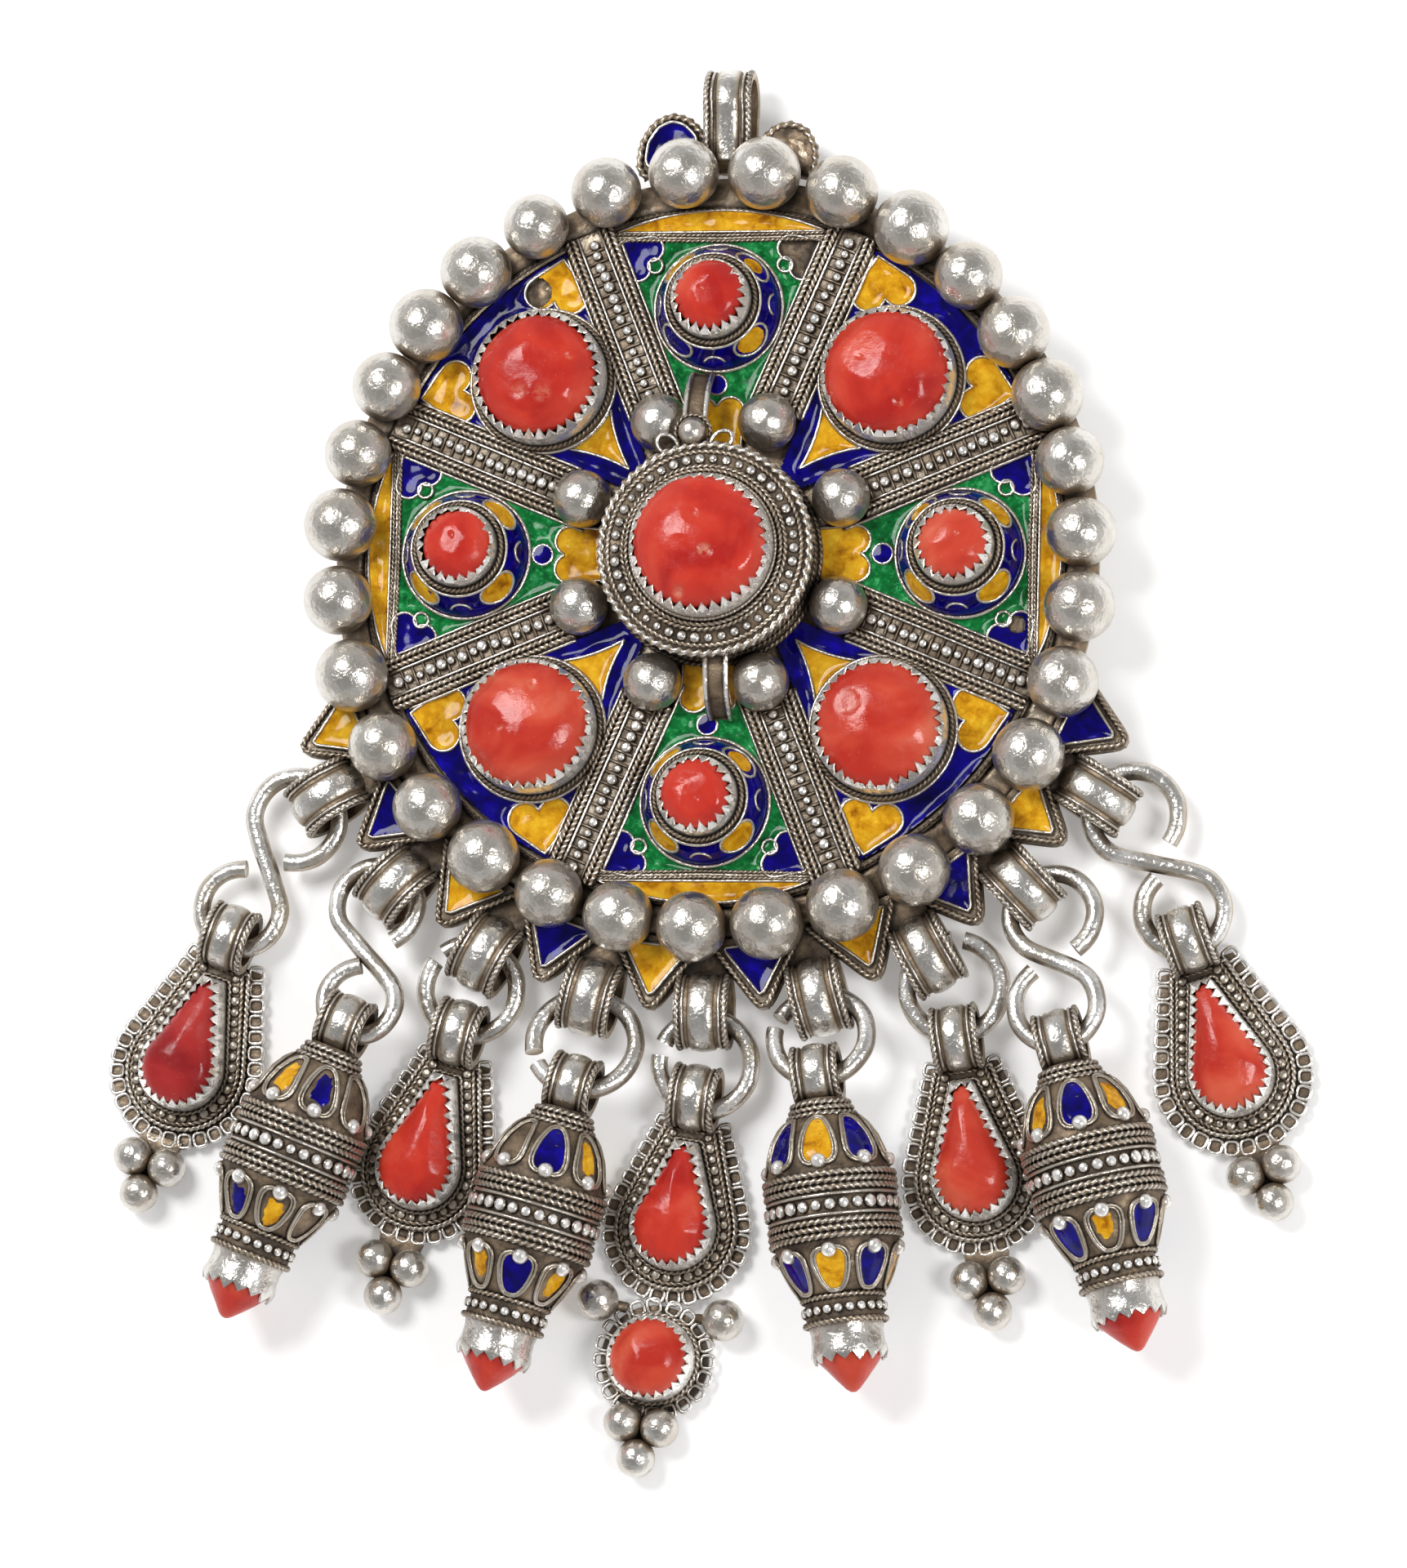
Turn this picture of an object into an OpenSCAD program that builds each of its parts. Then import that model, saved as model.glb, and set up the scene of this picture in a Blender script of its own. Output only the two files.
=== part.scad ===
// Round silver brooch with enamel cells, coral cabochons and nine hanging drops,
// lying face up. Millimetres, +Z up, the surface it lies on is z = 0.
// The suspension bail points along +Y and the drops hang towards -Y.

/* [Plate] */
// Radius of the round plate
plate_r = 36.4; // [36.2:0.1:36.8]
// Height of the plate's back above the surface
plate_z = 2.6; // [2.4:0.1:2.8]
// Thickness of the plate
plate_t = 1.2; // [1:0.1:1.3]
// Height of the cell walls above the plate
wall_h = 1.4; // [1.2:0.1:1.5]
// Radius of the face that holds the enamel cells
face_r = 32.05; // [32:0.01:32.08]
// Outer radius of the folded back rim
rim_r = 33.8; // [33:0.1:34]
// Thickness of the folded back rim
rim_t = 1.3; // [1:0.1:1.6]

/* [Balls] */
// Number of balls round the border
ball_count = 31; // [28:1:33]
// Radius of a border ball
ball_r = 3.25; // [3.1:0.05:3.3]
// Radius of the circle through the border balls' centres
ball_ring_r = 35; // [35:0.05:35.1]
// Angle of the first border ball
ball_start = 2.1; // [1:0.1:3]
// Radius of an inner ball
inner_ball_r = 2.7; // [2.5:0.05:2.75]
// Radius of the circle through the inner balls' centres
inner_ring_r = 13.1; // [13:0.1:13.3]

/* [Stones] */
// Distance of the eight outer stones from the centre
stone_ring_r = 23.1; // [23:0.05:23.2]
// Radius of a large coral
large_coral_r = 5.65; // [5.4:0.05:5.7]
// Radius of a large coral's collar at its foot
large_collar_r = 6.8; // [6.6:0.05:6.9]
// Radius of a small coral
small_coral_r = 3.1; // [2.9:0.05:3.15]
// Radius of the dome that carries a small coral
dome_r = 5.8; // [5.6:0.05:5.9]
// Radius of the centre coral
centre_coral_r = 6.1; // [5.9:0.05:6.15]
// Radius of the centre boss at its foot
boss_r = 10.2; // [10:0.05:10.25]
// Radius of the centre boss's upper tier
boss_tier_r = 9.6; // [9.4:0.05:9.7]

/* [Strips and points] */
// Width of a radial filigree strip
strip_w = 4.9; // [4.8:0.05:5]
// Distance of a point's tip from the centre
point_tip_r = 42.3; // [42:0.1:42.5]
// Angle of the first point
point_start = 205.3; // [205:0.1:205.6]
// Angle between two points
point_step = 14.5; // [14.4:0.05:14.6]

/* [Bails] */
// Width of a lower bail
bail_w = 5.1; // [4.9:0.1:5.2]
// Outer radius of a lower bail
bail_r = 3; // [2.9:0.05:3.1]
// Radius of the hole in a lower bail
bail_hole_r = 2.4; // [2.35:0.01:2.45]
// Angle of the first lower bail
bail_start = 212; // [211.8:0.1:212.2]
// Angle between two lower bails
bail_step = 14.55; // [14.5:0.05:14.6]
// Width of the suspension bail
top_bail_w = 4.6; // [4.4:0.1:4.8]
// Distance of the suspension bail's hole from the centre
top_bail_y = 43.2; // [43.15:0.05:43.3]
// Outer radius of the suspension bail
top_bail_r = 2.95; // [2.9:0.01:3]
// Radius of the suspension bail's hole
top_bail_hole_r = 2.2; // [2.15:0.01:2.22]
// Distance of the suspension bail from the middle line
top_bail_x = 0.4; // [0:0.1:0.5]

/* [Drops] */
// Radius of the wire of the rings and hooks
wire_r = 0.8; // [0.75:0.01:0.82]
// Width of a drop's bail
drop_bail_w = 4.5; // [4.4:0.1:4.6]
// Radius of a ball at a teardrop's foot
foot_ball_r = 1.8; // [1.7:0.05:1.85]
// Greatest radius of a barrel's belt
belt_r = 6; // [5.8:0.05:6.05]
// Height of a barrel's axis above the surface
barrel_z = 6.3; // [6.25:0.05:6.4]

/* [Hidden] */
$fn = 48;
// Place of the plate's centre: the origin is under the middle of the whole piece
disc_at = [0.22, 19.32];
gap = 0.1;
plate_top = plate_z + plate_t;
face_top = plate_top + wall_h;
// Thickness of metal under the face's cells, above the plate
cell_base = 0.6;
ball_z = plate_top + 3;
cell_wall = 0.3;
chord_y = 29.4;
half_step = 22.5;
bail_z = 3.3;
neck_z = 0.7;
edge_wall_r = 37.6;
petal_half_angle = 16;
strip_start = inner_ring_r + inner_ball_r + 0.15;
strip_end = 31.65;
bail_near_r = 41.4;
bail_far_r = 42.6;
link_z = 2.6;
tear_bail_z = 2.8;
tear_link_z = 2.1;
barrel_link_z = 5.6;
stone_seat_z = face_top + 2.1;
large_girdle = 0.9;
small_seat_z = face_top + 4.3;
centre_seat_z = face_top + 6.6;
// Teardrops, from the bail's hole: middle of the round end, and heights above the surface
tear_low = 13.7;
double_low = 12.8;
lace_t = 0.9;
tier_top = 1.9;
setting_top = 4.2;
tear_seat_z = 2.7;
foot_plate_t = 1.2;
side_ball_r = 1.95;
round_unit_y = -24.9;

silver = [0.74, 0.72, 0.69];
blue = [0.07, 0.03, 0.6];
green = [0.03, 0.42, 0.16];
yellow = [0.87, 0.58, 0.06];
coral = [0.8, 0.16, 0.1];

// One row for each drop, left to right: kind, place of its bail, angle from straight down,
// and a teardrop's greatest radius or a barrel's turn about its own axis
KIND = 0;
BAIL_AT = 1;
LEAN = 2;
WIDE = 3;
TURN = 3;
drops = [
    ["tear", [-44.6, -34.8], -18.7, 7.3],
    ["barrel", [-32.6, -43.5], -21, 18],
    ["tear", [-22.7, -43.5], -15.1, 6.95],
    ["barrel", [-11.15, -48.85], -15, 10],
    ["double", [-0.5, -49.3], -8.2, 6.95],
    ["barrel", [11.15, -47.72], 8.2, 0],
    ["tear", [23.3, -43.6], 8.5, 6.95],
    ["barrel", [33.3, -44.4], 15.2, 4],
    ["tear", [44.1, -34.5], 19, 7.3],
];

// One row for each open ring: drop that it carries, centre, radius, angle of its gap
RING_DROP = 0;
RING_AT = 1;
RING_R = 2;
RING_GAP = 3;
rings = [
    [3, [-21.9, -40.2], 4.3, 150],
    [4, [-10.75, -45.3], 4.7, 215],
    [5, [0.2, -46.9], 4.3, 170],
    [6, [11.1, -44.5], 4.3, 155],
    [7, [23.05, -39.7], 4.4, 78],
];

// One row for each S-shaped hook: drop, centre and radius of the upper loop,
// centre and radius of the lower loop, angles of the upper and the lower end
HOOK_DROP = 0;
UPPER_AT = 1;
UPPER_R = 2;
LOWER_AT = 3;
LOWER_R = 4;
UPPER_END = 5;
LOWER_END = 6;
hooks = [
    [1, [-38.9, -24.4], 4.1, [-44, -32.8], 3.8, 256, 84],
    [2, [-30.85, -32.5], 3.8, [-31.8, -41.65], 3.35, 296, 92],
    [8, [32.05, -33.1], 3.95, [32.75, -41.5], 3.8, 305, 126],
    [9, [39.25, -23.8], 4.1, [43.85, -32.5], 3.8, 322, 130],
];

// Half the width of the wedge between two strips, y from the centre
function wedge_half(y, inset) = y * tan(half_step) - (strip_w / 2 + inset) / cos(half_step);

module wedge(y0, y1, inset) {
    polygon([
        [-wedge_half(y1, inset), y1],
        [-wedge_half(y0, inset), y0],
        [wedge_half(y0, inset), y0],
        [wedge_half(y1, inset), y1],
    ]);
}

// A heart with its tip along -y and its lobes centred on y = 0, whose sides touch the lobes
module heart(lobe_r, tip, inset) {
    r = lobe_r - inset;
    a = 0.92 * lobe_r;
    t = tip - 1.35 * inset;
    touch = atan2(-t, -a) + acos(r / norm([a, t]));
    side = 0.98 * r * [cos(touch), sin(touch)];
    for (s = [-1, 1]) translate([s * a, 0]) circle(r);
    polygon([[-a - side[0], side[1]], [0, -t], [a + side[0], side[1]], [a, 0], [0, 0.3 * r], [-a, 0]]);
}

// Shapes of the enamel cells; each is made smaller all round by inset

module panel_hearts(inset) {
    intersection() {
        wedge(20, chord_y - inset, cell_wall + inset);
        for (s = [0, 1])
            mirror([s, 0])
                translate([7.4, 28])
                    rotate([0, 0, 122])
                        heart(1.15, 3.1, inset);
    }
}

module sector_hearts(inset) {
    intersection() {
        wedge(20, 33, cell_wall + inset);
        for (s = [0, 1])
            mirror([s, 0])
                translate([6.5, 28.2])
                    rotate([0, 0, 125])
                        heart(1.5, 3.2, inset);
    }
}

module dot_cell(inset) {
    translate([0, 15.9]) circle(0.75 - inset);
}

module inner_heart(inset) {
    difference() {
        union() {
            for (s = [-1, 1]) translate([s * 1.15, 13.2]) circle(1.25 - inset);
            translate([-2.2 + inset, 9]) square([4.4 - 2 * inset, 4.2]);
        }
        circle(boss_r + 0.3 + inset);
    }
}

module sector_triangle(inset) {
    half = 2.9 - 2 * inset;
    difference() {
        polygon([[-half, 17.4 - inset], [0, 11.4 + 2 * inset], [half, 17.4 - inset]]);
        translate([0, stone_ring_r]) circle(large_collar_r + 0.3 + inset);
    }
}

module outer_segment(inset) {
    intersection() {
        translate([0, 7.8]) circle(24 - inset);
        translate([-12, chord_y + 1 + inset]) square([24, 4]);
    }
}

module green_panel(inset) {
    difference() {
        wedge(11.4 + inset, chord_y - inset, cell_wall + inset);
        translate([0, stone_ring_r]) circle(dome_r + 0.1 + inset);
        panel_hearts(-cell_wall - inset);
        inner_heart(-cell_wall - inset);
        dot_cell(-cell_wall - inset);
    }
}

module blue_sector(inset) {
    difference() {
        intersection() {
            wedge(9, 32, cell_wall + inset);
            circle(31.6 - inset);
        }
        circle(boss_r + 0.3 + inset);
        translate([0, stone_ring_r]) circle(large_collar_r + 0.1 + inset);
        sector_hearts(-cell_wall - inset);
        sector_triangle(-cell_wall - inset);
        for (s = [-1, 1])
            rotate([0, 0, s * half_step])
                translate([0, inner_ring_r])
                    circle(inner_ball_r + 0.2 + inset);
    }
}

module point_shape() {
    polygon([[-4.4, 36], [-0.5, point_tip_r], [0.5, point_tip_r], [4.4, 36]]);
}

module point_cell(inset) {
    half = 1.9 - 1.5 * inset;
    polygon([[-half, 37.5 + inset], [0, 40.9 - 2 * inset], [half, 37.5 + inset]]);
}

// The two petals beside the suspension bail
module petals(inset) {
    translate([-4.8, 38.6]) circle(3.2 - inset);
    translate([5.6, 38.25]) circle(2.9 - inset);
}

module petal_cells(inset) {
    intersection() {
        petals(1.1 + inset);
        translate([-10, 37.6 + inset]) square([20, 6]);
    }
}

module blue_cells(inset) {
    for (q = [0 : 3]) {
        rotate([0, 0, 90 * q]) {
            panel_hearts(inset);
            dot_cell(inset);
        }
        rotate([0, 0, 45 + 90 * q]) blue_sector(inset);
    }
}

module yellow_cells(inset) {
    for (q = [0 : 3]) {
        rotate([0, 0, 90 * q]) {
            inner_heart(inset);
            outer_segment(inset);
        }
        rotate([0, 0, 45 + 90 * q]) {
            sector_hearts(inset);
            sector_triangle(inset);
        }
    }
}

// first is 0 for the yellow points and 1 for the blue ones
module point_cells(first, inset) {
    for (k = [first : 2 : 9]) rotate([0, 0, point_start + k * point_step - 90]) point_cell(inset);
}

// Silver plate with its cell walls and the suspension bail

module plate_outline() {
    circle(plate_r);
    for (k = [0 : 9]) rotate([0, 0, point_start + k * point_step - 90]) point_shape();
    petals(0);
}

// Room for the lower bails between the points
module bail_room() {
    for (i = [0 : 8])
        rotate([0, 0, bail_start + i * bail_step])
            translate([bail_near_r - bail_r - gap, -bail_w / 2 - gap])
                square([2 * bail_r, bail_w + 2 * gap]);
    translate([top_bail_x - top_bail_w / 2 - gap, top_bail_y - top_bail_r - gap])
        square([top_bail_w + 2 * gap, 2 * top_bail_r]);
}

module back_plate() {
    translate([0, 0, plate_z])
        linear_extrude(plate_t)
            difference() {
                plate_outline();
                bail_room();
            }
}

module cell_walls() {
    difference() {
        translate([0, 0, plate_top - 0.2]) cylinder(h = wall_h + 0.2, r = face_r);
        translate([0, 0, plate_top + cell_base])
            linear_extrude(wall_h) {
                blue_cells(0);
                yellow_cells(0);
                for (q = [0 : 3]) rotate([0, 0, 90 * q]) green_panel(0);
            }
    }
    translate([0, 0, plate_top - 0.2])
        linear_extrude(1.1)
            difference() {
                union() {
                    for (k = [0 : 9]) rotate([0, 0, point_start + k * point_step - 90]) point_shape();
                    petals(0);
                }
                circle(edge_wall_r);
                bail_room();
                point_cells(0, 0);
                point_cells(1, 0);
                petal_cells(0);
            }
}

// A radial strip on the face: base and raised middle ribbon
module strip() {
    rotate([90, 0, 0])
        translate([0, 0, -strip_end])
            linear_extrude(strip_end - strip_start)
                polygon([
                    [-strip_w / 2, face_top + gap],
                    [strip_w / 2, face_top + gap],
                    [strip_w / 2, face_top + 0.4],
                    [1, face_top + 0.4],
                    [0.8, face_top + 0.8],
                    [-0.8, face_top + 0.8],
                    [-1, face_top + 0.4],
                    [-strip_w / 2, face_top + 0.4],
                ]);
}

// The strips give way a little to the collars between them
module radial_strips() {
    color(silver)
        translate(disc_at)
            difference() {
                for (k = [0 : 7]) rotate([0, 0, half_step + 45 * k]) strip();
                for (q = [0 : 3])
                    rotate([0, 0, 45 + 90 * q])
                        translate([0, stone_ring_r, face_top])
                            cylinder(h = 3, r = large_collar_r + gap);
            }
}

module large_collar() {
    rotate_extrude()
        polygon([
            [0, face_top + gap],
            [large_collar_r, face_top + gap],
            [large_collar_r, face_top + 0.8],
            [6.2, face_top + 1.1],
            [5.95, face_top + 3.3],
            [large_coral_r + 0.1, face_top + 3.3],
            [large_coral_r + 0.1, stone_seat_z],
            [0, stone_seat_z],
        ]);
}

module small_dome() {
    rotate_extrude()
        polygon([
            [0, face_top + gap],
            [dome_r, face_top + gap],
            [dome_r, face_top + 0.3],
            [5.5, face_top + 1.5],
            [4.9, face_top + 2.7],
            [4.1, face_top + 3.6],
            [3.5, face_top + 3.9],
            [3.35, face_top + 5.4],
            [small_coral_r + 0.1, face_top + 5.4],
            [small_coral_r + 0.1, small_seat_z],
            [0, small_seat_z],
        ]);
}

// Loop seen along its hole, x away from the plate's centre, y up
module bail_profile() {
    difference() {
        union() {
            translate([bail_near_r, 0]) circle(bail_r);
            translate([bail_far_r + 0.3, 0]) circle(bail_r);
            translate([34.5, neck_z - bail_z]) square([5, plate_z - gap - neck_z]);
        }
        translate([bail_near_r, 0]) circle(bail_hole_r);
        translate([bail_far_r, 0]) circle(bail_hole_r);
    }
}

module lower_bail() {
    translate([0, 0, bail_z])
        rotate([90, 0, 0])
            translate([0, 0, -bail_w / 2])
                linear_extrude(bail_w)
                    bail_profile();
}

module top_bail() {
    color(silver)
        translate([disc_at[0] + top_bail_x - top_bail_w / 2, disc_at[1], 0])
            rotate([90, 0, 90])
                linear_extrude(top_bail_w)
                    difference() {
                        union() {
                            translate([top_bail_y, bail_z + 0.3]) circle(top_bail_r);
                            translate([35, neck_z]) square([6.5, plate_z - gap - neck_z]);
                        }
                        translate([top_bail_y, bail_z + 0.3]) circle(top_bail_hole_r);
                    }
}

// Bails for the drops' rings and hooks, soldered under the plate by their necks
module lower_bails() {
    color(silver) translate(disc_at) for (i = [0 : 8]) rotate([0, 0, bail_start + i * bail_step]) lower_bail();
}

module disc() {
    color(silver)
        translate(disc_at) {
            back_plate();
            cell_walls();
        }
}

// Large collars and small domes that hold the corals round the boss
module stone_settings() {
    color(silver)
        translate(disc_at)
            for (q = [0 : 3]) {
                rotate([0, 0, 90 * q]) translate([0, stone_ring_r, 0]) small_dome();
                rotate([0, 0, 45 + 90 * q]) translate([0, stone_ring_r, 0]) large_collar();
            }
}

// Balls round the boss, each flat where it is soldered to the plate's face
module inner_balls() {
    color(silver)
        translate(disc_at)
            for (k = [0 : 7])
                rotate([0, 0, half_step + 45 * k])
                    translate([0, inner_ring_r, face_top + gap])
                        difference() {
                            translate([0, 0, 1.2 - gap]) sphere(inner_ball_r);
                            translate([-inner_ball_r, -inner_ball_r, -2 * inner_ball_r]) cube(2 * inner_ball_r);
                        }
}

// Folded rim round the plate's back
module back_rim() {
    color(silver)
        translate(disc_at)
            difference() {
                cylinder(h = plate_z - gap, r = rim_r);
                translate([0, 0, -1]) cylinder(h = plate_z + 2, r = rim_r - rim_t);
            }
}

// Balls round the border, each flat where it is soldered to the plate
module border_balls() {
    color(silver)
        translate(disc_at)
            for (k = [0 : ball_count - 1])
                rotate([0, 0, ball_start + k * 360 / ball_count])
                    translate([ball_ring_r, 0, plate_top + gap])
                        difference() {
                            translate([0, 0, ball_z - plate_top - gap]) sphere(ball_r);
                            translate([-ball_r, -ball_r, -2 * ball_r]) cube(2 * ball_r);
                        }
}

// Raised boss: foot, ribbed wall, upper tier, coral setting and two strap loops
module centre_boss() {
    color(silver)
        translate(disc_at) {
            translate([0, 0, face_top + gap])
                rotate_extrude()
                    polygon([
                        [0, 0],
                        [boss_r, 0],
                        [boss_r, 0.9],
                        [9.2, 1.3],
                        [9.1, 4.3],
                        [boss_tier_r, 4.6],
                        [boss_tier_r, 5.3],
                        [9, 5.6],
                        [7.2, 5.8],
                        [6.5, 6.2],
                        [6.4, 8],
                        [centre_coral_r + 0.1, 8],
                        [centre_coral_r + 0.1, centre_seat_z - face_top - gap],
                        [0, centre_seat_z - face_top - gap],
                    ]);
            translate([-1.5, 0, 0]) strap();
            translate([1, 0, 0]) mirror([0, 1, 0]) strap();
            translate([-1.4, 10.6, face_top + 4.6]) sphere(1.35);
        }
}

module strap() {
    translate([-1.1, 0, face_top + gap])
        rotate([90, 0, 90])
            linear_extrude(2.2)
                polygon([
                    [8.6, 2.9],
                    [8.6, 3.8],
                    [12, 3.8],
                    [14.6, 3],
                    [16.9, 0],
                    [15.8, 0],
                    [13.9, 2.1],
                    [11.8, 2.9],
                ]);
}

// Plain pin in the hollow back, with the hinge and the catch as two studs
module back_pin() {
    color(silver)
        translate(disc_at) {
            translate([-27, 8, 1.4]) rotate([0, 90, 0]) cylinder(h = 54, r = 0.8);
            for (s = [-1, 1]) translate([s * 26.5, 8, 0.4]) cylinder(h = plate_z - 0.4 - gap, r = 1.7);
        }
}

module enamel_layer() {
    translate([disc_at[0], disc_at[1], plate_top + cell_base + gap])
        linear_extrude(wall_h - cell_base - gap - 0.15)
            children();
}

module edge_layer() {
    translate([disc_at[0], disc_at[1], plate_top + gap]) linear_extrude(0.6) children();
}

module enamel_blue() {
    color(blue) {
        enamel_layer() blue_cells(gap);
        edge_layer() {
            point_cells(1, gap);
            intersection() {
                petal_cells(gap);
                translate([-10, 36]) square(10);
            }
        }
    }
}

module enamel_green() {
    color(green) enamel_layer() for (q = [0 : 3]) rotate([0, 0, 90 * q]) green_panel(gap);
}

module enamel_yellow() {
    color(yellow) {
        enamel_layer() yellow_cells(gap);
        edge_layer() point_cells(0, gap);
    }
}

// Round cabochon: straight girdle, then a dome of the given height
module cabochon(r, girdle, dome) {
    steps = 8;
    rotate_extrude()
        polygon(concat(
            [[0, 0], [r - 0.2, 0]],
            [for (i = [0 : steps - 1]) [r * cos(90 * i / steps), girdle + dome * sin(90 * i / steps)]],
            [[0, girdle + dome]]
        ));
}

module coral_centre() {
    color(coral) translate([disc_at[0], disc_at[1], centre_seat_z + gap]) cabochon(centre_coral_r, 1.4, 3);
}

module coral_large(i) {
    color(coral)
        translate(disc_at)
            rotate([0, 0, 45 - 90 * i])
                translate([0, stone_ring_r, stone_seat_z + gap])
                    cabochon(large_coral_r, large_girdle, 2.9);
}

module coral_small(i) {
    color(coral)
        translate(disc_at)
            rotate([0, 0, 90 - 90 * i])
                translate([0, stone_ring_r, small_seat_z + gap])
                    cabochon(small_coral_r, 0.9, 1.7);
}

// Links between the bails

function dir(a) = [cos(a), sin(a)];

function angle_of(v) = atan2(v[1], v[0]);

function link_z_at(i) = drops[i - 1][KIND] == "barrel" ? barrel_link_z : tear_link_z;

// Open ring of round wire, tipped so that it passes through both bails
module ring(row) {
    i = row[RING_DROP];
    down = drops[i - 1][LEAN] - 90;
    rise = link_z_at(i) - link_z;
    tip = -asin(rise / (2 * row[RING_R]));
    color(silver)
        translate([disc_at[0] + row[RING_AT][0], disc_at[1] + row[RING_AT][1], link_z + rise / 2])
            rotate([0, 0, down + 90])
                rotate([tip, 0, 0])
                    rotate([0, 0, row[RING_GAP] + 8])
                        rotate_extrude(angle = 344)
                            translate([row[RING_R], 0])
                                circle(wire_r);
}

// Centre line of an S-shaped hook, seen from above
function hook_route(row) =
    let (
        across = row[LOWER_AT] - row[UPPER_AT],
        turn = acos((row[UPPER_R] + row[LOWER_R]) / norm(across)),
        leave = angle_of(across) + 360 - turn,
        meet = leave - 180,
        up0 = row[UPPER_END] > leave ? row[UPPER_END] - 360 : row[UPPER_END],
        low1 = row[LOWER_END] > meet ? row[LOWER_END] - 360 : row[LOWER_END],
        steps = 22
    )
    concat(
        [for (k = [0 : steps]) row[UPPER_AT] + row[UPPER_R] * dir(up0 + (leave - up0) * k / steps)],
        [for (k = [0 : steps]) row[LOWER_AT] + row[LOWER_R] * dir(meet + (low1 - meet) * k / steps)]
    );

// Tube of six sides along points, each ring square to the route there
module tube(path, r, sides) {
    n = len(path);
    function along(k) = let (a = path[max(k - 1, 0)], b = path[min(k + 1, n - 1)]) (b - a) / norm(b - a);
    function across(k) = let (c = cross([0, 0, 1], along(k))) c / norm(c);
    points = [
        for (k = [0 : n - 1])
            for (j = [0 : sides - 1])
                let (a = 360 * j / sides + 30, side = across(k), up = cross(along(k), side))
                path[k] + r * (cos(a) * side + sin(a) * up)
    ];
    faces = concat(
        [[for (j = [0 : sides - 1]) j]],
        [
            for (k = [0 : n - 2])
                for (j = [0 : sides - 1])
                    let (a = k * sides + j, b = k * sides + (j + 1) % sides)
                    [a, a + sides, b + sides, b]
        ],
        [[for (j = [sides - 1 : -1 : 0]) (n - 1) * sides + j]]
    );
    polyhedron(points, faces, convexity = 6);
}

module hook(row) {
    i = row[HOOK_DROP];
    across = row[LOWER_AT] - row[UPPER_AT];
    span = norm(across) + row[UPPER_R] + row[LOWER_R];
    rise = link_z_at(i) - link_z;
    route = hook_route(row);
    path = [
        for (p = route)
            let (t = ((p - row[UPPER_AT]) * across / norm(across) + row[UPPER_R]) / span)
            [disc_at[0] + p[0], disc_at[1] + p[1], link_z + rise * t]
    ];
    color(silver) tube(path, wire_r, 6);
}

// Drops, each made with its bail's hole at x = y = 0 and its body along -y

module hang(i) {
    row = drops[i - 1];
    translate([disc_at[0] + row[BAIL_AT][0], disc_at[1] + row[BAIL_AT][1], 0])
        rotate([0, 0, row[LEAN]])
            children();
}

// Loop over the top of a drop: stretch is how much longer than round it is
module drop_bail(z, stretch, neck) {
    outer = 2.75;
    hole = 2.2;
    translate([-drop_bail_w / 2, -0.3, z])
        rotate([90, 0, 90])
            linear_extrude(drop_bail_w)
                difference() {
                    union() {
                        circle(outer);
                        translate([-stretch, 0]) circle(outer);
                        translate([-stretch - neck, -2.3]) square([neck, 4.5]);
                    }
                    circle(hole);
                    translate([-stretch, 0]) circle(hole);
                }
}

// Outline of a teardrop: a round end of radius r at y = -low and a top edge at y = -high
function tear_outline(r, low, high, half_top) =
    let (
        v = [half_top, low - high],
        a0 = angle_of(v) - acos(r / norm(v)),
        steps = 20
    )
    concat(
        [[-half_top, -high]],
        [for (k = [0 : steps]) [0, -low] + r * dir(180 - a0 + (180 + 2 * a0) * k / steps)],
        [[half_top, -high]]
    );

// Lace edge, raised tier and coral setting of a teardrop
module tear_body(low, wide) {
    linear_extrude(lace_t) polygon(tear_outline(wide, low, 3.3, 3.1));
    linear_extrude(tier_top) polygon(tear_outline(5.5, low, 4.4, 2.2));
    difference() {
        linear_extrude(setting_top) polygon(tear_outline(3.85, low, 5.1, 0.9));
        translate([0, 0, tear_seat_z - gap]) linear_extrude(3) polygon(tear_outline(3.45, low, 5.9, 0.55));
    }
    drop_bail(tear_bail_z, 0.9, 2.4);
}

module foot_balls(y) {
    for (s = [-1, 1]) translate([s * 1.72, y, foot_ball_r]) sphere(foot_ball_r);
    translate([0, y - 3.05, foot_ball_r]) sphere(foot_ball_r);
    linear_extrude(foot_plate_t) polygon([[-2.2, y + 3], [-1.9, y], [0, y - 2.6], [1.9, y], [2.2, y + 3]]);
}

module tear_drop(wide) {
    tear_body(tear_low, wide);
    foot_balls(-22.8);
}

module double_drop(wide) {
    tear_body(double_low, wide);
    for (s = [-1, 1]) translate([s * 5.9, -20.4, side_ball_r]) sphere(side_ball_r);
    linear_extrude(foot_plate_t) translate([-5.5, -21]) square([11, 2.2]);
    translate([0, round_unit_y, 0])
        rotate_extrude()
            polygon([
                [0, 0],
                [5.3, 0],
                [5.3, 0.9],
                [4.5, 1.6],
                [4.2, 4.2],
                [3.8, 4.2],
                [3.8, 2.6],
                [0, 2.6],
            ]);
    foot_balls(-31);
}

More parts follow.
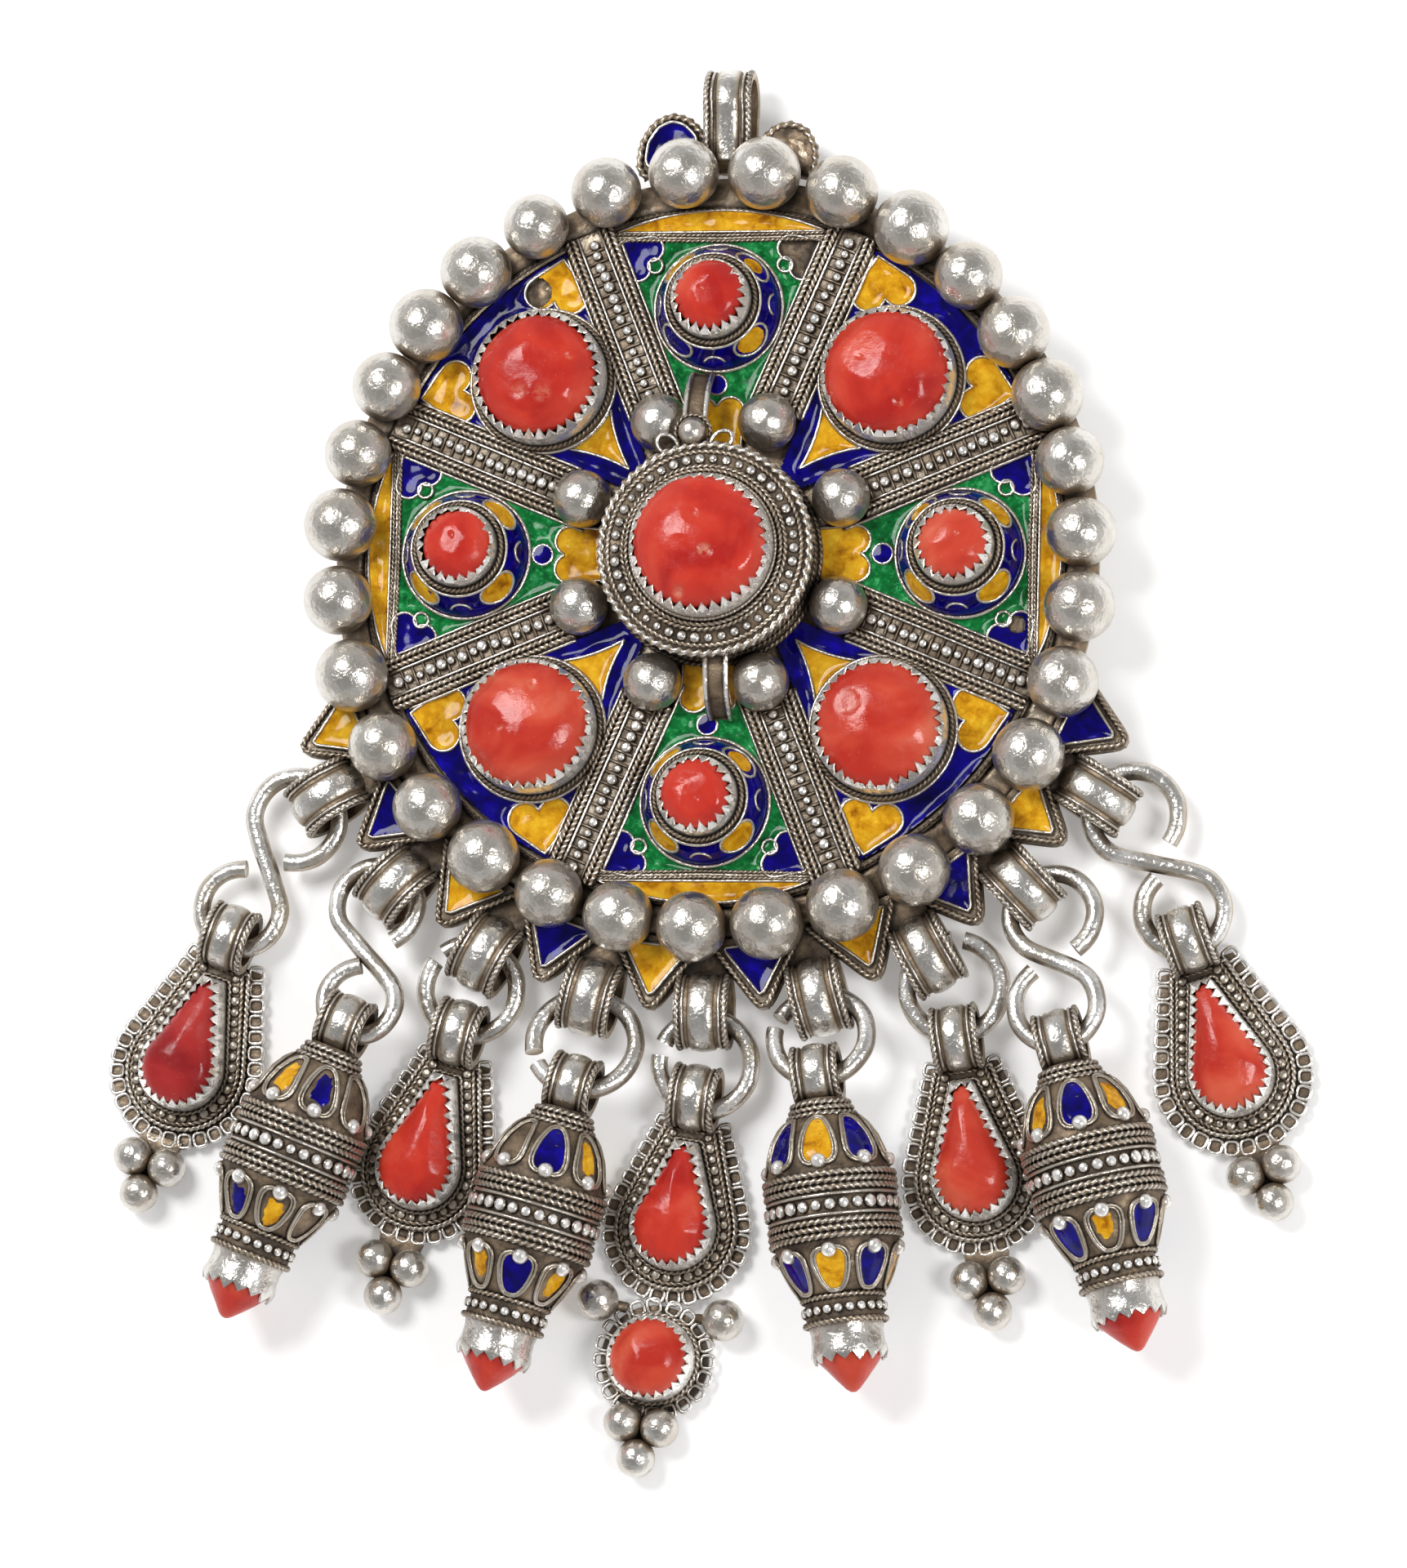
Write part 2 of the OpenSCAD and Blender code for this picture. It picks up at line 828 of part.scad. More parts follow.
// Barrel on its side: shoulder, belt, lower shoulder, collar and stone cap
module barrel_drop(turn) {
    translate([0, 0, barrel_z])
        rotate([0, turn, 0]) {
            rotate([90, 0, 0])
                rotate_extrude()
                    polygon([
                        [0, 2.8],
                        [2.9, 2.8],
                        [2.9, 3.9],
                        [3.5, 4.5],
                        [4.6, 6.8],
                        [5.35, 9.2],
                        [belt_r, 9.6],
                        [belt_r, 15.3],
                        [5.35, 15.8],
                        [4.85, 17.9],
                        [3.75, 20.3],
                        [3.9, 20.4],
                        [3.9, 23.1],
                        [3.15, 23.3],
                        [3.55, 26],
                        [3.2, 26],
                        [3, 24.2],
                        [0, 24.2],
                    ]);
            for (k = [0 : 9])
                rotate([0, 36 * k, 0]) {
                    translate([0, -9.4, 5.5]) sphere(0.7);
                    translate([0, -15.8, 5.5]) sphere(0.7);
                }
        }
    drop_bail(barrel_z, 0.5, 2.5);
}

module drop(i) {
    row = drops[i - 1];
    color(silver)
        hang(i) {
            if (row[KIND] == "tear") tear_drop(row[WIDE]);
            if (row[KIND] == "double") double_drop(row[WIDE]);
            if (row[KIND] == "barrel") barrel_drop(row[TURN]);
        }
}

// Teardrop stone as a stack of shrinking outlines
module tear_coral(low) {
    girdle = 1.4;
    dome = 2;
    steps = 5;
    outline = tear_outline(3.3, low, 6.2, 0.5);
    centre = [0, -low + 1];
    m = len(outline);
    points = concat(
        [for (q = outline) [q[0], q[1], 0]],
        [
            for (k = [0 : steps])
                for (q = outline)
                    let (a = 78 * k / steps, p = centre + (q - centre) * cos(a))
                    [p[0], p[1], girdle + dome * sin(a)]
        ]
    );
    faces = concat(
        [[for (j = [m - 1 : -1 : 0]) j]],
        [
            for (k = [0 : steps])
                for (j = [0 : m - 1])
                    let (a = k * m + j, b = k * m + (j + 1) % m)
                    [a, b, b + m, a + m]
        ],
        [[for (j = [0 : m - 1]) (steps + 1) * m + j]]
    );
    polyhedron(points, faces, convexity = 4);
}

module cone_coral() {
    translate([0, -24.3, barrel_z])
        rotate([90, 0, 0])
            rotate_extrude()
                polygon([[0, 0], [2.8, 0], [3.1, 1.8], [2.3, 3.4], [1, 4.8], [0.4, 5.1], [0, 5.1]]);
}

module drop_coral(i) {
    kind = drops[i - 1][KIND];
    color(coral)
        hang(i) {
            if (kind == "tear") translate([0, 0, tear_seat_z]) tear_coral(tear_low);
            if (kind == "double") translate([0, 0, tear_seat_z]) tear_coral(double_low);
            if (kind == "barrel") cone_coral();
        }
}

module drop_coral_round() {
    color(coral) hang(5) translate([0, round_unit_y, tear_seat_z]) cabochon(3.65, 1.4, 2);
}

// Thin curved petals over both shoulders of a barrel, every second one of the eight
module barrel_petals(first, turn) {
    translate([0, 0, barrel_z])
        for (k = [first : 2 : 7])
            rotate([0, 45 * k + turn, 0]) {
                petal_strip([[3.75, 4.9], [4.68, 6.9], [5.12, 8.3]]);
                petal_strip([[5.24, 16.9], [4.94, 17.9], [4.15, 19.6]]);
            }
}

module petal_strip(edge) {
    rotate([90, 0, 0])
        rotate([0, 0, 90 - petal_half_angle])
            rotate_extrude(angle = 2 * petal_half_angle)
                polygon(concat(
                    [for (p = edge) [p[0] + gap, p[1]]],
                    [for (k = [len(edge) - 1 : -1 : 0]) [edge[k][0] + 0.4, edge[k][1]]]
                ));
}

module barrel_enamel_blue() {
    color(blue) for (i = [2 : 2 : 8]) hang(i) barrel_petals(0, drops[i - 1][TURN]);
}

module barrel_enamel_yellow() {
    color(yellow) for (i = [2 : 2 : 8]) hang(i) barrel_petals(1, drops[i - 1][TURN]);
}

disc();
back_rim();
radial_strips();
top_bail();
lower_bails();
stone_settings();
inner_balls();
border_balls();
centre_boss();
back_pin();
enamel_blue();
enamel_green();
enamel_yellow();
coral_centre();
for (i = [1 : 4]) coral_large(i);
for (i = [1 : 4]) coral_small(i);
for (h = hooks) hook(h);
for (r = rings) ring(r);
for (i = [1 : 9]) drop(i);
for (i = [1 : 9]) drop_coral(i);
drop_coral_round();
barrel_enamel_blue();
barrel_enamel_yellow();
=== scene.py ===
"""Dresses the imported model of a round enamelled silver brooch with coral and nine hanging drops."""

from math import acos, atan2, cos, degrees, hypot, pi, radians, sin, sqrt, tan

import bpy
import numpy as np
from mathutils import Matrix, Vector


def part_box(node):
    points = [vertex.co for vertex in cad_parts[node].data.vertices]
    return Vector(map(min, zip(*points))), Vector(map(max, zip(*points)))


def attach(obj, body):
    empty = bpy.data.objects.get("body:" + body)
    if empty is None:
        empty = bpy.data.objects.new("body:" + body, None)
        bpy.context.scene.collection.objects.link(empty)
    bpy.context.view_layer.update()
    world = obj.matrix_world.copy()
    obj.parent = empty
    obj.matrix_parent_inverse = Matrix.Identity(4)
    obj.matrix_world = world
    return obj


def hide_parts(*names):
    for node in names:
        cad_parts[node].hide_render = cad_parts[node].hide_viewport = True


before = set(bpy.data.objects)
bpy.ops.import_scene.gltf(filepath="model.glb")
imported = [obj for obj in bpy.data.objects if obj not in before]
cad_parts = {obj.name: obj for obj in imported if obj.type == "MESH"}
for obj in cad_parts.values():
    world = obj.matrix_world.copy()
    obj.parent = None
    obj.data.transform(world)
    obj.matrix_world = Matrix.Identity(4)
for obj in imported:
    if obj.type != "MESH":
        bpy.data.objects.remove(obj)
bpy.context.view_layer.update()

# Sizes are in millimetres. Plate pieces are drawn round the plate's centre, and drops round their bails.
MM = 0.001
low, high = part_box("coral_centre")
PLATE_AT = np.array([(low.x + high.x) / 2, (low.y + high.y) / 2, 0]) / MM

PLATE_R = 36.4
PLATE_BACK = 2.6
CELL_FLOOR = 4.4
RIM_R = 33.8
RIM_T = 1.3
WIRE_Z = 5.08
ENAMEL_TOP = 5.06
HALF_STEP = 22.5
STRIP_W = 4.9
CHORD_Y = 29.4
BALL_Z = 6.8
BALL_COUNT = 31
INNER_BALL_R = 2.7
INNER_RING_R = 13.1
INNER_BALL_Z = 6.4
STONE_RING_R = 23.1
BOSS_R = 10.2
POINT_TIP_R = 42.3
POINT_START = 205.3
POINT_STEP = 14.5
BAIL_START = 212
BAIL_STEP = 14.55
LINK_R = 0.84
LINK_Z = 2.6
TEAR_LINK_Z = 2.1
BARREL_LINK_Z = 5.6
BARREL_Z = 6.3
TEAR_BAIL_Z = 2.8

# One row for each drop, left to right: kind, place of its bail from the plate's centre, angle from straight
# down, and a teardrop's greatest radius or a barrel's turn about its own axis
DROPS = [
    ("tear", (-44.6, -34.8), -18.7, 7.3),
    ("barrel", (-32.6, -43.5), -21, 18),
    ("tear", (-22.7, -43.5), -15.1, 6.95),
    ("barrel", (-11.15, -48.85), -15, 10),
    ("double", (-0.5, -49.3), -8.2, 6.95),
    ("barrel", (11.15, -47.72), 8.2, 0),
    ("tear", (23.3, -43.6), 8.5, 6.95),
    ("barrel", (33.3, -44.4), 15.2, 4),
    ("tear", (44.1, -34.5), 19, 7.3),
]
# One row for each ring: its drop, centre, radius and the angle of its gap
RINGS = [
    (3, (-21.9, -40.2), 4.3, 150),
    (4, (-10.75, -45.3), 4.7, 215),
    (5, (0.2, -46.9), 4.3, 170),
    (6, (11.1, -44.5), 4.3, 155),
    (7, (23.05, -39.7), 4.4, 78),
]
# One row for each hook: its drop, centre and radius of the upper loop and of the lower loop, and the
# two end angles
HOOKS = [
    (1, (-38.9, -24.4), 4.1, (-44, -32.8), 3.8, 256, 84),
    (2, (-30.85, -32.5), 3.8, (-31.8, -41.65), 3.35, 296, 92),
    (8, (32.05, -33.1), 3.95, (32.75, -41.5), 3.8, 305, 126),
    (9, (39.25, -23.8), 4.1, (43.85, -32.5), 3.8, 322, 130),
]


# Mesh making

def unit(v):
    v = np.asarray(v, float)
    return v / np.maximum(np.linalg.norm(v, axis=-1, keepdims=True), 1e-9)


def turned(points, angle):
    """Points turned about the upright axis by an angle in degrees."""
    a = radians(angle)
    points = np.array(points, float)
    x, y = points[..., 0].copy(), points[..., 1].copy()
    points[..., 0] = x * cos(a) - y * sin(a)
    points[..., 1] = x * sin(a) + y * cos(a)
    return points


def on_plate(angle=0):
    """Places points drawn with the plate's centre at the origin, turned by an angle."""
    return lambda points: turned(points, angle) + PLATE_AT


def hanging(i):
    """Places the points of drop i, drawn with its bail at the origin and its body along -Y."""
    _, at, lean, _ = DROPS[i - 1]
    return lambda points: turned(points, lean) + PLATE_AT + np.array([*at, 0])


def grid_faces(rows, cols, wrap_rows=False, wrap_cols=True):
    """Quads over a grid of points."""
    r = np.arange(rows if wrap_rows else rows - 1)
    c = np.arange(cols if wrap_cols else cols - 1)
    r, c = np.meshgrid(r, c, indexing="ij")
    r2, c2 = (r + 1) % rows, (c + 1) % cols
    return np.stack([r * cols + c, r2 * cols + c, r2 * cols + c2, r * cols + c2], -1).reshape(-1, 4)


def fan(middle, start, count, under=False):
    """Triangles from a middle point to each edge of a ring of points, seen from above or from under it."""
    k = start + np.arange(count)
    k2 = start + (np.arange(count) + 1) % count
    return np.stack([np.full(count, middle), *((k, k2) if under else (k2, k))], -1)


def volume(points, faces):
    """Signed volume inside the faces, to tell whether they look outwards."""
    points = points - points.mean(0)
    total = 0.0
    for f in faces:
        for k in range(2, f.shape[1]):
            total += np.einsum("ij,ij->", points[f[:, 0]], np.cross(points[f[:, k - 1]], points[f[:, k]]))
    return total


class Shape:
    """Surfaces gathered into one mesh. Each point has a tone from 0, bright, to 1, dark: mostly patina, with
    painted shade in some grooves, creases and undersides.
    """

    def __init__(self, place=None):
        self.place = place or on_plate()
        self.points, self.faces, self.tarnish, self.soft = [], [], [], []
        self.count = 0

    def add(self, points, faces, tarnish=0.0, soft=True, sheet=False):
        """Adds a surface. Closed ones are made to look outwards. A sheet keeps the order of its faces."""
        points = np.asarray(points, float).reshape(-1, 3)
        faces = faces if isinstance(faces, list) else [faces]
        flip = not sheet and volume(points, faces) < 0
        for f in faces:
            self.faces += ((f[:, ::-1] if flip else f) + self.count).tolist()
        self.points.append(self.place(points))
        self.tarnish.append(np.broadcast_to(np.asarray(tarnish, float), len(points)))
        self.soft.append(np.full(len(points), soft))
        self.count += len(points)

    def add_rope(self, path, r, bead, tarnish=0.1, **kind):
        """Adds twisted wire, bright on its ridges and dark in its grooves: patina there, with painted shade
        over it.
        """
        points, faces = rope(path, r, bead, **kind)
        # Painted shade in the grooves, added to the patina.
        groove_shade = np.resize(ROPE_GROOVE_SHADE, len(points))
        self.add(points, faces, tarnish + 0.5 * groove_shade)

    def add_granules(self, places, r, tall, tarnish=0.05, **kind):
        """Adds granules, bright on top and dark round their feet: patina there, with painted shade over it.
        """
        points, faces = granules(places, r, tall, **kind)
        # Painted shade round each granule's foot, added to the patina.
        foot = np.resize(GRANULE_FOOT_SHADE, len(points))
        self.add(points, faces, tarnish + 0.75 * foot)

    def make(self, name, material, slot, replaced=()):
        """Makes the mesh object, which rides on the root body."""
        mesh = bpy.data.meshes.new(name)
        mesh.from_pydata((np.vstack(self.points) * MM).tolist(), [], self.faces)
        mesh.polygons.foreach_set("use_smooth", np.ones(len(mesh.polygons), bool))
        keep_soft_edges(mesh, np.concatenate(self.soft))
        # The tone, painted shade included, goes to the material as a point attribute.
        dark = mesh.attributes.new("tarnish", "FLOAT", "POINT")
        dark.data.foreach_set("value", np.concatenate(self.tarnish).astype(np.float32))
        mesh.materials.append(material)
        piece = bpy.data.objects.new(name, mesh)
        bpy.context.scene.collection.objects.link(piece)
        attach(piece, "root")
        if replaced:
            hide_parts(*replaced)
        return piece


def keep_soft_edges(mesh, soft):
    """Marks edges that bend by more than 35 degrees as sharp, except on soft surfaces."""
    if soft.all():
        return
    mesh.set_sharp_from_angle(angle=radians(35))
    ends = np.empty(len(mesh.edges) * 2, np.int32)
    mesh.edges.foreach_get("vertices", ends)
    sharp = mesh.attributes.get("sharp_edge")
    if sharp is None:
        return
    flags = np.empty(len(mesh.edges), bool)
    sharp.data.foreach_get("value", flags)
    flags &= ~soft[ends.reshape(-1, 2)].all(1)
    sharp.data.foreach_set("value", flags)


def resample(path, count, closed=False):
    """Points at equal steps along a path."""
    path = np.asarray(path, float)
    if closed:
        path = np.vstack([path, path[:1]])
    run = np.concatenate([[0], np.cumsum(np.linalg.norm(np.diff(path, axis=0), axis=1))])
    at = np.linspace(0, run[-1], count + 1)[:-1] if closed else np.linspace(0, run[-1], count)
    return np.stack([np.interp(at, run, path[:, k]) for k in range(path.shape[1])], -1)


def length_of(path, closed=False):
    path = np.asarray(path, float)
    if closed:
        path = np.vstack([path, path[:1]])
    return np.linalg.norm(np.diff(path, axis=0), axis=1).sum()


def directions(path, closed, up):
    """Forward, sideways and upward directions at each point of a path."""
    if closed:
        ahead = unit(np.roll(path, -1, 0) - np.roll(path, 1, 0))
    else:
        ahead = unit(np.gradient(path, axis=0))
    side = unit(np.cross(ahead, up))
    return ahead, side, np.cross(side, ahead)


def sweep(path, section, closed=False, up=(0, 0, 1)):
    """A section of (sideways, upward) pairs, one for all or one for each point, moved along a path."""
    path = np.asarray(path, float)
    section = np.asarray(section, float)
    n, m = len(path), section.shape[-2]
    _, side, lift = directions(path, closed, up)
    section = np.broadcast_to(section, (n, m, 2))
    points = path[:, None] + section[..., :1] * side[:, None] + section[..., 1:] * lift[:, None]
    ends = points[[0, -1]].mean(1)
    points = points.reshape(-1, 3)
    faces = [grid_faces(n, m, closed)]
    if not closed:
        points = np.vstack([points, ends])
        faces += [fan(n * m, 0, m, under=True), fan(n * m + 1, (n - 1) * m, m)]
    return points, faces


def wire(path, r, sides=8, closed=False, up=(0, 0, 1)):
    """Round wire. r is one radius or one for each point."""
    a = 2 * pi * np.arange(sides) / sides
    ring = np.stack([np.cos(a), np.sin(a)], -1)
    r = np.broadcast_to(np.asarray(r, float), len(path))
    return sweep(path, ring[None] * r[:, None, None], closed, up)


ROPE_STEPS = 4
ROPE_SECTION = np.array([1, 0.72, 0.66] * 2)
# Darkness from a strand's ridge into the groove: painted shade, over patina
ROPE_GROOVE_SHADE = np.array([0, 0.9, 1])


def rope(path, r, bead, closed=False, up=(0, 0, 1), hand=1):
    """Two strands twisted together. bead is the distance between two ridges."""
    beads = max(2, round(length_of(path, closed) / bead))
    if closed:
        beads += beads % 2
    path = resample(path, beads * ROPE_STEPS, closed)
    turn = hand * pi * np.arange(len(path)) / ROPE_STEPS
    a = 2 * pi * np.arange(6) / 6 + turn[:, None]
    section = r * ROPE_SECTION[None, :, None] * np.stack([np.cos(a), np.sin(a)], -1)
    return sweep(path, section, closed, up)


def beaded(path, r, bead, closed=False, up=(0, 0, 1), depth=0.3):
    """Wire pressed into a row of beads."""
    beads = max(2, round(length_of(path, closed) / bead))
    path = resample(path, beads * 4, closed)
    swell = np.tile([1 - depth, 1 - depth * 0.3, 1, 1 - depth * 0.3], beads)
    return wire(path, r * swell, 6, closed, up)


def circle(r, z=0.0, count=64, at=(0, 0), start=0, stop=360):
    """Points of a circle, or of an arc if it doesn't go all round."""
    whole = stop - start == 360
    a = np.radians(np.linspace(start, stop, count, endpoint=not whole))
    return np.stack([at[0] + r * np.cos(a), at[1] + r * np.sin(a), np.full(count, float(z))], -1)


def lathe(profile, count=64, ring=False):
    """Turns a profile of (radius, height) pairs about the upright axis. A ring's profile is a loop."""
    profile = np.asarray(profile, float)
    a = 2 * pi * np.arange(count) / count
    r, z = profile[:, :1], profile[:, 1:]
    points = np.stack([r * np.cos(a), r * np.sin(a), z + 0 * a], -1)
    ends = points[[0, -1]].mean(1)
    points = points.reshape(-1, 3)
    n = len(profile)
    faces = [grid_faces(n, count, ring)]
    if not ring:
        points = np.vstack([points, ends])
        faces += [fan(n * count, 0, count, under=True), fan(n * count + 1, (n - 1) * count, count)]
    return points, faces


def prism(outline, z0, z1):
    """An outline in the plane made solid between two heights."""
    outline = np.asarray(outline, float)[:, :2]
    n = len(outline)
    middle = outline.mean(0)
    points = np.vstack([raised(outline, z0), raised(outline, z1), [[*middle, z0], [*middle, z1]]])
    return points, [grid_faces(2, n), fan(2 * n, 0, n, under=True), fan(2 * n + 1, n, n)]


def geodesic(parts):
    """A round ball of radius 1 from an icosahedron, each edge cut into parts."""
    g = (1 + sqrt(5)) / 2
    corners = np.array([
        (-1, g, 0), (1, g, 0), (-1, -g, 0), (1, -g, 0), (0, -1, g), (0, 1, g),
        (0, -1, -g), (0, 1, -g), (g, 0, -1), (g, 0, 1), (-g, 0, -1), (-g, 0, 1),
    ])
    sides = [
        (0, 11, 5), (0, 5, 1), (0, 1, 7), (0, 7, 10), (0, 10, 11),
        (1, 5, 9), (5, 11, 4), (11, 10, 2), (10, 7, 6), (7, 1, 8),
        (3, 9, 4), (3, 4, 2), (3, 2, 6), (3, 6, 8), (3, 8, 9),
        (4, 9, 5), (2, 4, 11), (6, 2, 10), (8, 6, 7), (9, 8, 1),
    ]
    index, points, faces = {}, [], []

    def number(p):
        p = p / np.linalg.norm(p)
        key = tuple(np.round(p, 5) + 0.0)
        if key not in index:
            index[key] = len(points)
            points.append(p)
        return index[key]

    for a, b, c in sides:
        rows = [
            [
                number((corners[a] * (parts - i) + corners[b] * (i - j) + corners[c] * j) / parts)
                for j in range(i + 1)
            ]
            for i in range(parts + 1)
        ]
        for i in range(parts):
            for j in range(i + 1):
                faces.append((rows[i][j], rows[i + 1][j], rows[i + 1][j + 1]))
                if j < i:
                    faces.append((rows[i][j], rows[i + 1][j + 1], rows[i][j + 1]))
    return np.array(points), np.array(faces)


BIG_BALL = geodesic(9)
MIDDLE_BALL = geodesic(6)
SMALL_BALL = geodesic(3)

BALL_TARNISH = 0.17
# Tarnish of edges that are rubbed bright even in a corner
BRIGHT = -0.3


def ball(at, r, template, rng, dent=0.03):
    """A hollow silver ball with shallow dents."""
    points, faces = template
    reach = np.ones(len(points))
    for _ in range(7):
        way = unit(rng.normal(size=3))
        spread = rng.uniform(0.02, 0.12)
        reach -= dent * rng.uniform(0.2, 1) * np.exp((points @ way - 1) / spread)
    return np.asarray(at) + points * (r * reach)[:, None], faces


def wobble(points, size, depth, seed):
    """Smooth unevenness: one number for each point, with humps about size apart."""
    rng = np.random.default_rng(seed)
    total = np.zeros(len(points))
    for _ in range(7):
        way = unit(rng.normal(size=points.shape[1])) * 2 * pi / (size * rng.uniform(0.7, 1.6))
        total += np.sin(points @ way + rng.uniform(0, 2 * pi))
    return depth * total / 7 ** 0.5


GRANULE_SIDES = 8
# Rings of a granule, from its foot up, as (share of its radius, share of its height, darkness: patina with
# painted shade round the foot)
GRANULE_RINGS = [(1, -0.3, 1), (1, 0.2, 1), (0.93, 0.68, 0.3), (0.66, 0.95, 0)]
GRANULE_FOOT_SHADE = np.append(np.repeat([row[2] for row in GRANULE_RINGS], GRANULE_SIDES), [0, 1])


def granules(places, r, tall, normals=(0, 0, 1), ahead=(0, 1, 0), stretch=1.0, sizes=1.0):
    """Small domes, one at each place, each looking along its normal. sizes is one factor or one for each."""
    places = np.asarray(places, float)
    normals = unit(np.broadcast_to(normals, places.shape))
    side = unit(np.cross(np.broadcast_to(ahead, places.shape), normals))
    along = np.cross(normals, side)
    a = 2 * pi * np.arange(GRANULE_SIDES) / GRANULE_SIDES
    template = [(w * r * cos(t), w * r * stretch * sin(t), h * tall) for w, h, _ in GRANULE_RINGS for t in a]
    template = np.array(template + [(0, 0, tall), (0, 0, -0.3 * tall)])
    size = np.broadcast_to(sizes, len(places))[:, None, None]
    points = places[:, None] + size * (
        template[None, :, :1] * side[:, None] + template[None, :, 1:2] * along[:, None]
        + template[None, :, 2:] * normals[:, None]
    )
    n, count = len(template), GRANULE_SIDES
    one = [grid_faces(len(GRANULE_RINGS), count)]
    one += [fan(n - 2, n - 2 - count, count), fan(n - 1, 0, count, under=True)]
    shift = n * np.arange(len(places))
    return points.reshape(-1, 3), [(f[None] + shift[:, None, None]).reshape(-1, f.shape[1]) for f in one]


def toothed(loop, foot, shoulder, tooth, lean, pitch, seed, thick=0.2, flare=0.0):
    """Upright strip along a closed loop in the plane, cut into teeth that lean inwards over a stone."""
    rng = np.random.default_rng(seed)
    loop = np.asarray(loop, float)[:, :2]
    teeth = max(6, round(length_of(loop, True) / pitch))
    line = resample(loop, teeth * 4, True)
    ahead = unit(np.roll(line, -1, 0) - np.roll(line, 1, 0))
    inward = np.stack([-ahead[:, 1], ahead[:, 0]], -1)
    if ((line.mean(0) - line) * inward).sum() < 0:
        inward = -inward
    point = np.tile([0.0, 0.5, 0.95, 0.5], teeth)
    tall = np.repeat(rng.uniform(0.75, 1.15, teeth), 4)
    bend = np.repeat(rng.uniform(0.6, 1.35, teeth), 4)
    rows = [
        (-flare, np.full(len(line), foot)),
        (0, np.full(len(line), shoulder)),
        (lean * bend * point, shoulder + tooth * tall * point + 0.12),
    ]
    layers = []
    for inset in (0.0, thick):
        for off, z in rows[:: 1 if inset == 0 else -1]:
            off = np.broadcast_to(off, len(line)) + inset
            layers.append(np.column_stack([line + inward * off[:, None], z]))
    points = np.vstack(layers)
    return points, [grid_faces(len(layers), len(line), True)]


# Outlines in the plane

def heart(at, lobe, tip, angle):
    """A heart whose tip points along an angle, with its lobes on either side of at."""
    a = 0.92 * lobe
    start = pi - atan2(sqrt(lobe ** 2 - a ** 2), a)
    stop = atan2(-tip, -a) + acos(lobe / hypot(a, tip))
    t = np.linspace(start, stop, 16)
    right = np.stack([a + lobe * np.cos(t), lobe * np.sin(t)], -1)
    left = right[::-1] * (-1, 1)
    outline = np.vstack([right, [[0, -tip]], left[:-1]])
    return turned(outline, angle + 90) + at


def wedge_half(y, inset=0.0):
    """Half the width between two strips at a distance y from the centre."""
    return y * tan(radians(HALF_STEP)) - (STRIP_W / 2 + inset) / cos(radians(HALF_STEP))


def ellipse(half_long, half_wide, count=20):
    """An oval along x, a little fuller than an ellipse."""
    a = 2 * pi * np.arange(count) / count
    x, y = np.cos(a), np.sin(a)
    x = half_long * np.sign(x) * np.abs(x) ** 0.9
    y = half_wide * np.sign(y) * np.abs(y) ** 0.95
    return np.stack([x, y], -1)


def tear_outline(r, low, high, half_top, count=48):
    """A round end of radius r at y = -low, with straight sides up to a top edge at y = -high."""
    v = (half_top, low - high)
    a = atan2(v[1], v[0]) - acos(r / hypot(*v))
    t = np.linspace(pi - a, 2 * pi + a, count)
    arc = np.stack([r * np.cos(t), -low + r * np.sin(t)], -1)
    return np.vstack([[[-half_top, -high]], arc, [[half_top, -high]]])


# Enamel

def nearest(points, loops):
    """Distance from each point to the nearest edge of the loops, and the place on it."""
    best = np.full(len(points), 1e9)
    foot = np.zeros_like(points)
    for loop in loops:
        a, b = loop, np.roll(loop, -1, 0)
        ab = b - a
        t = np.einsum("pij,ij->pi", points[:, None] - a[None], ab) / np.maximum((ab ** 2).sum(1), 1e-12)
        on = a[None] + np.clip(t, 0, 1)[..., None] * ab[None]
        gap = np.linalg.norm(points[:, None] - on, axis=-1)
        k = gap.argmin(1)
        rows = np.arange(len(points))
        closer = gap[rows, k] < best
        best[closer] = gap[rows, k][closer]
        foot[closer] = on[rows, k][closer]
    return best, foot


def inside(points, loop):
    """True for each point inside the loop."""
    a, b = loop, np.roll(loop, -1, 0)
    x, y = points[:, :1], points[:, 1:]
    spans = (a[None, :, 1] > y) != (b[None, :, 1] > y)
    rise = np.where(np.abs(b[:, 1] - a[:, 1]) < 1e-12, 1e-12, b[:, 1] - a[:, 1])
    cross = a[None, :, 0] + (y - a[None, :, 1]) / rise * (b[:, 0] - a[:, 0])
    return (spans & (x < cross)).sum(1) % 2 == 1


def cell(outline, holes=(), step=0.22):
    """Flat net inside an outline and outside the holes: points, quads and distances to the edge."""
    outline = np.asarray(outline, float)[:, :2]
    holes = [np.asarray(h, float)[:, :2] for h in holes]
    lo, hi = outline.min(0) - step, outline.max(0) + step
    xs, ys = np.arange(lo[0], hi[0], step), np.arange(lo[1], hi[1], step)
    points = np.stack(np.meshgrid(xs, ys, indexing="ij"), -1).reshape(-1, 2)
    within = inside(points, outline)
    for hole in holes:
        within &= ~inside(points, hole)
    gap, foot = nearest(points, [outline] + holes)
    kept = within | (gap < 0.6 * step)
    faces = grid_faces(len(xs), len(ys), False, False)
    faces = faces[kept[faces].all(1) & (within[faces].sum(1) >= 2)]
    snap = ~within | (gap < 0.3 * step)
    points = np.where(snap[:, None], foot, points)
    used, numbers = np.unique(faces, return_inverse=True)
    gap = np.where(snap, 0, gap)
    return points[used], numbers.reshape(-1, 4), gap[used]


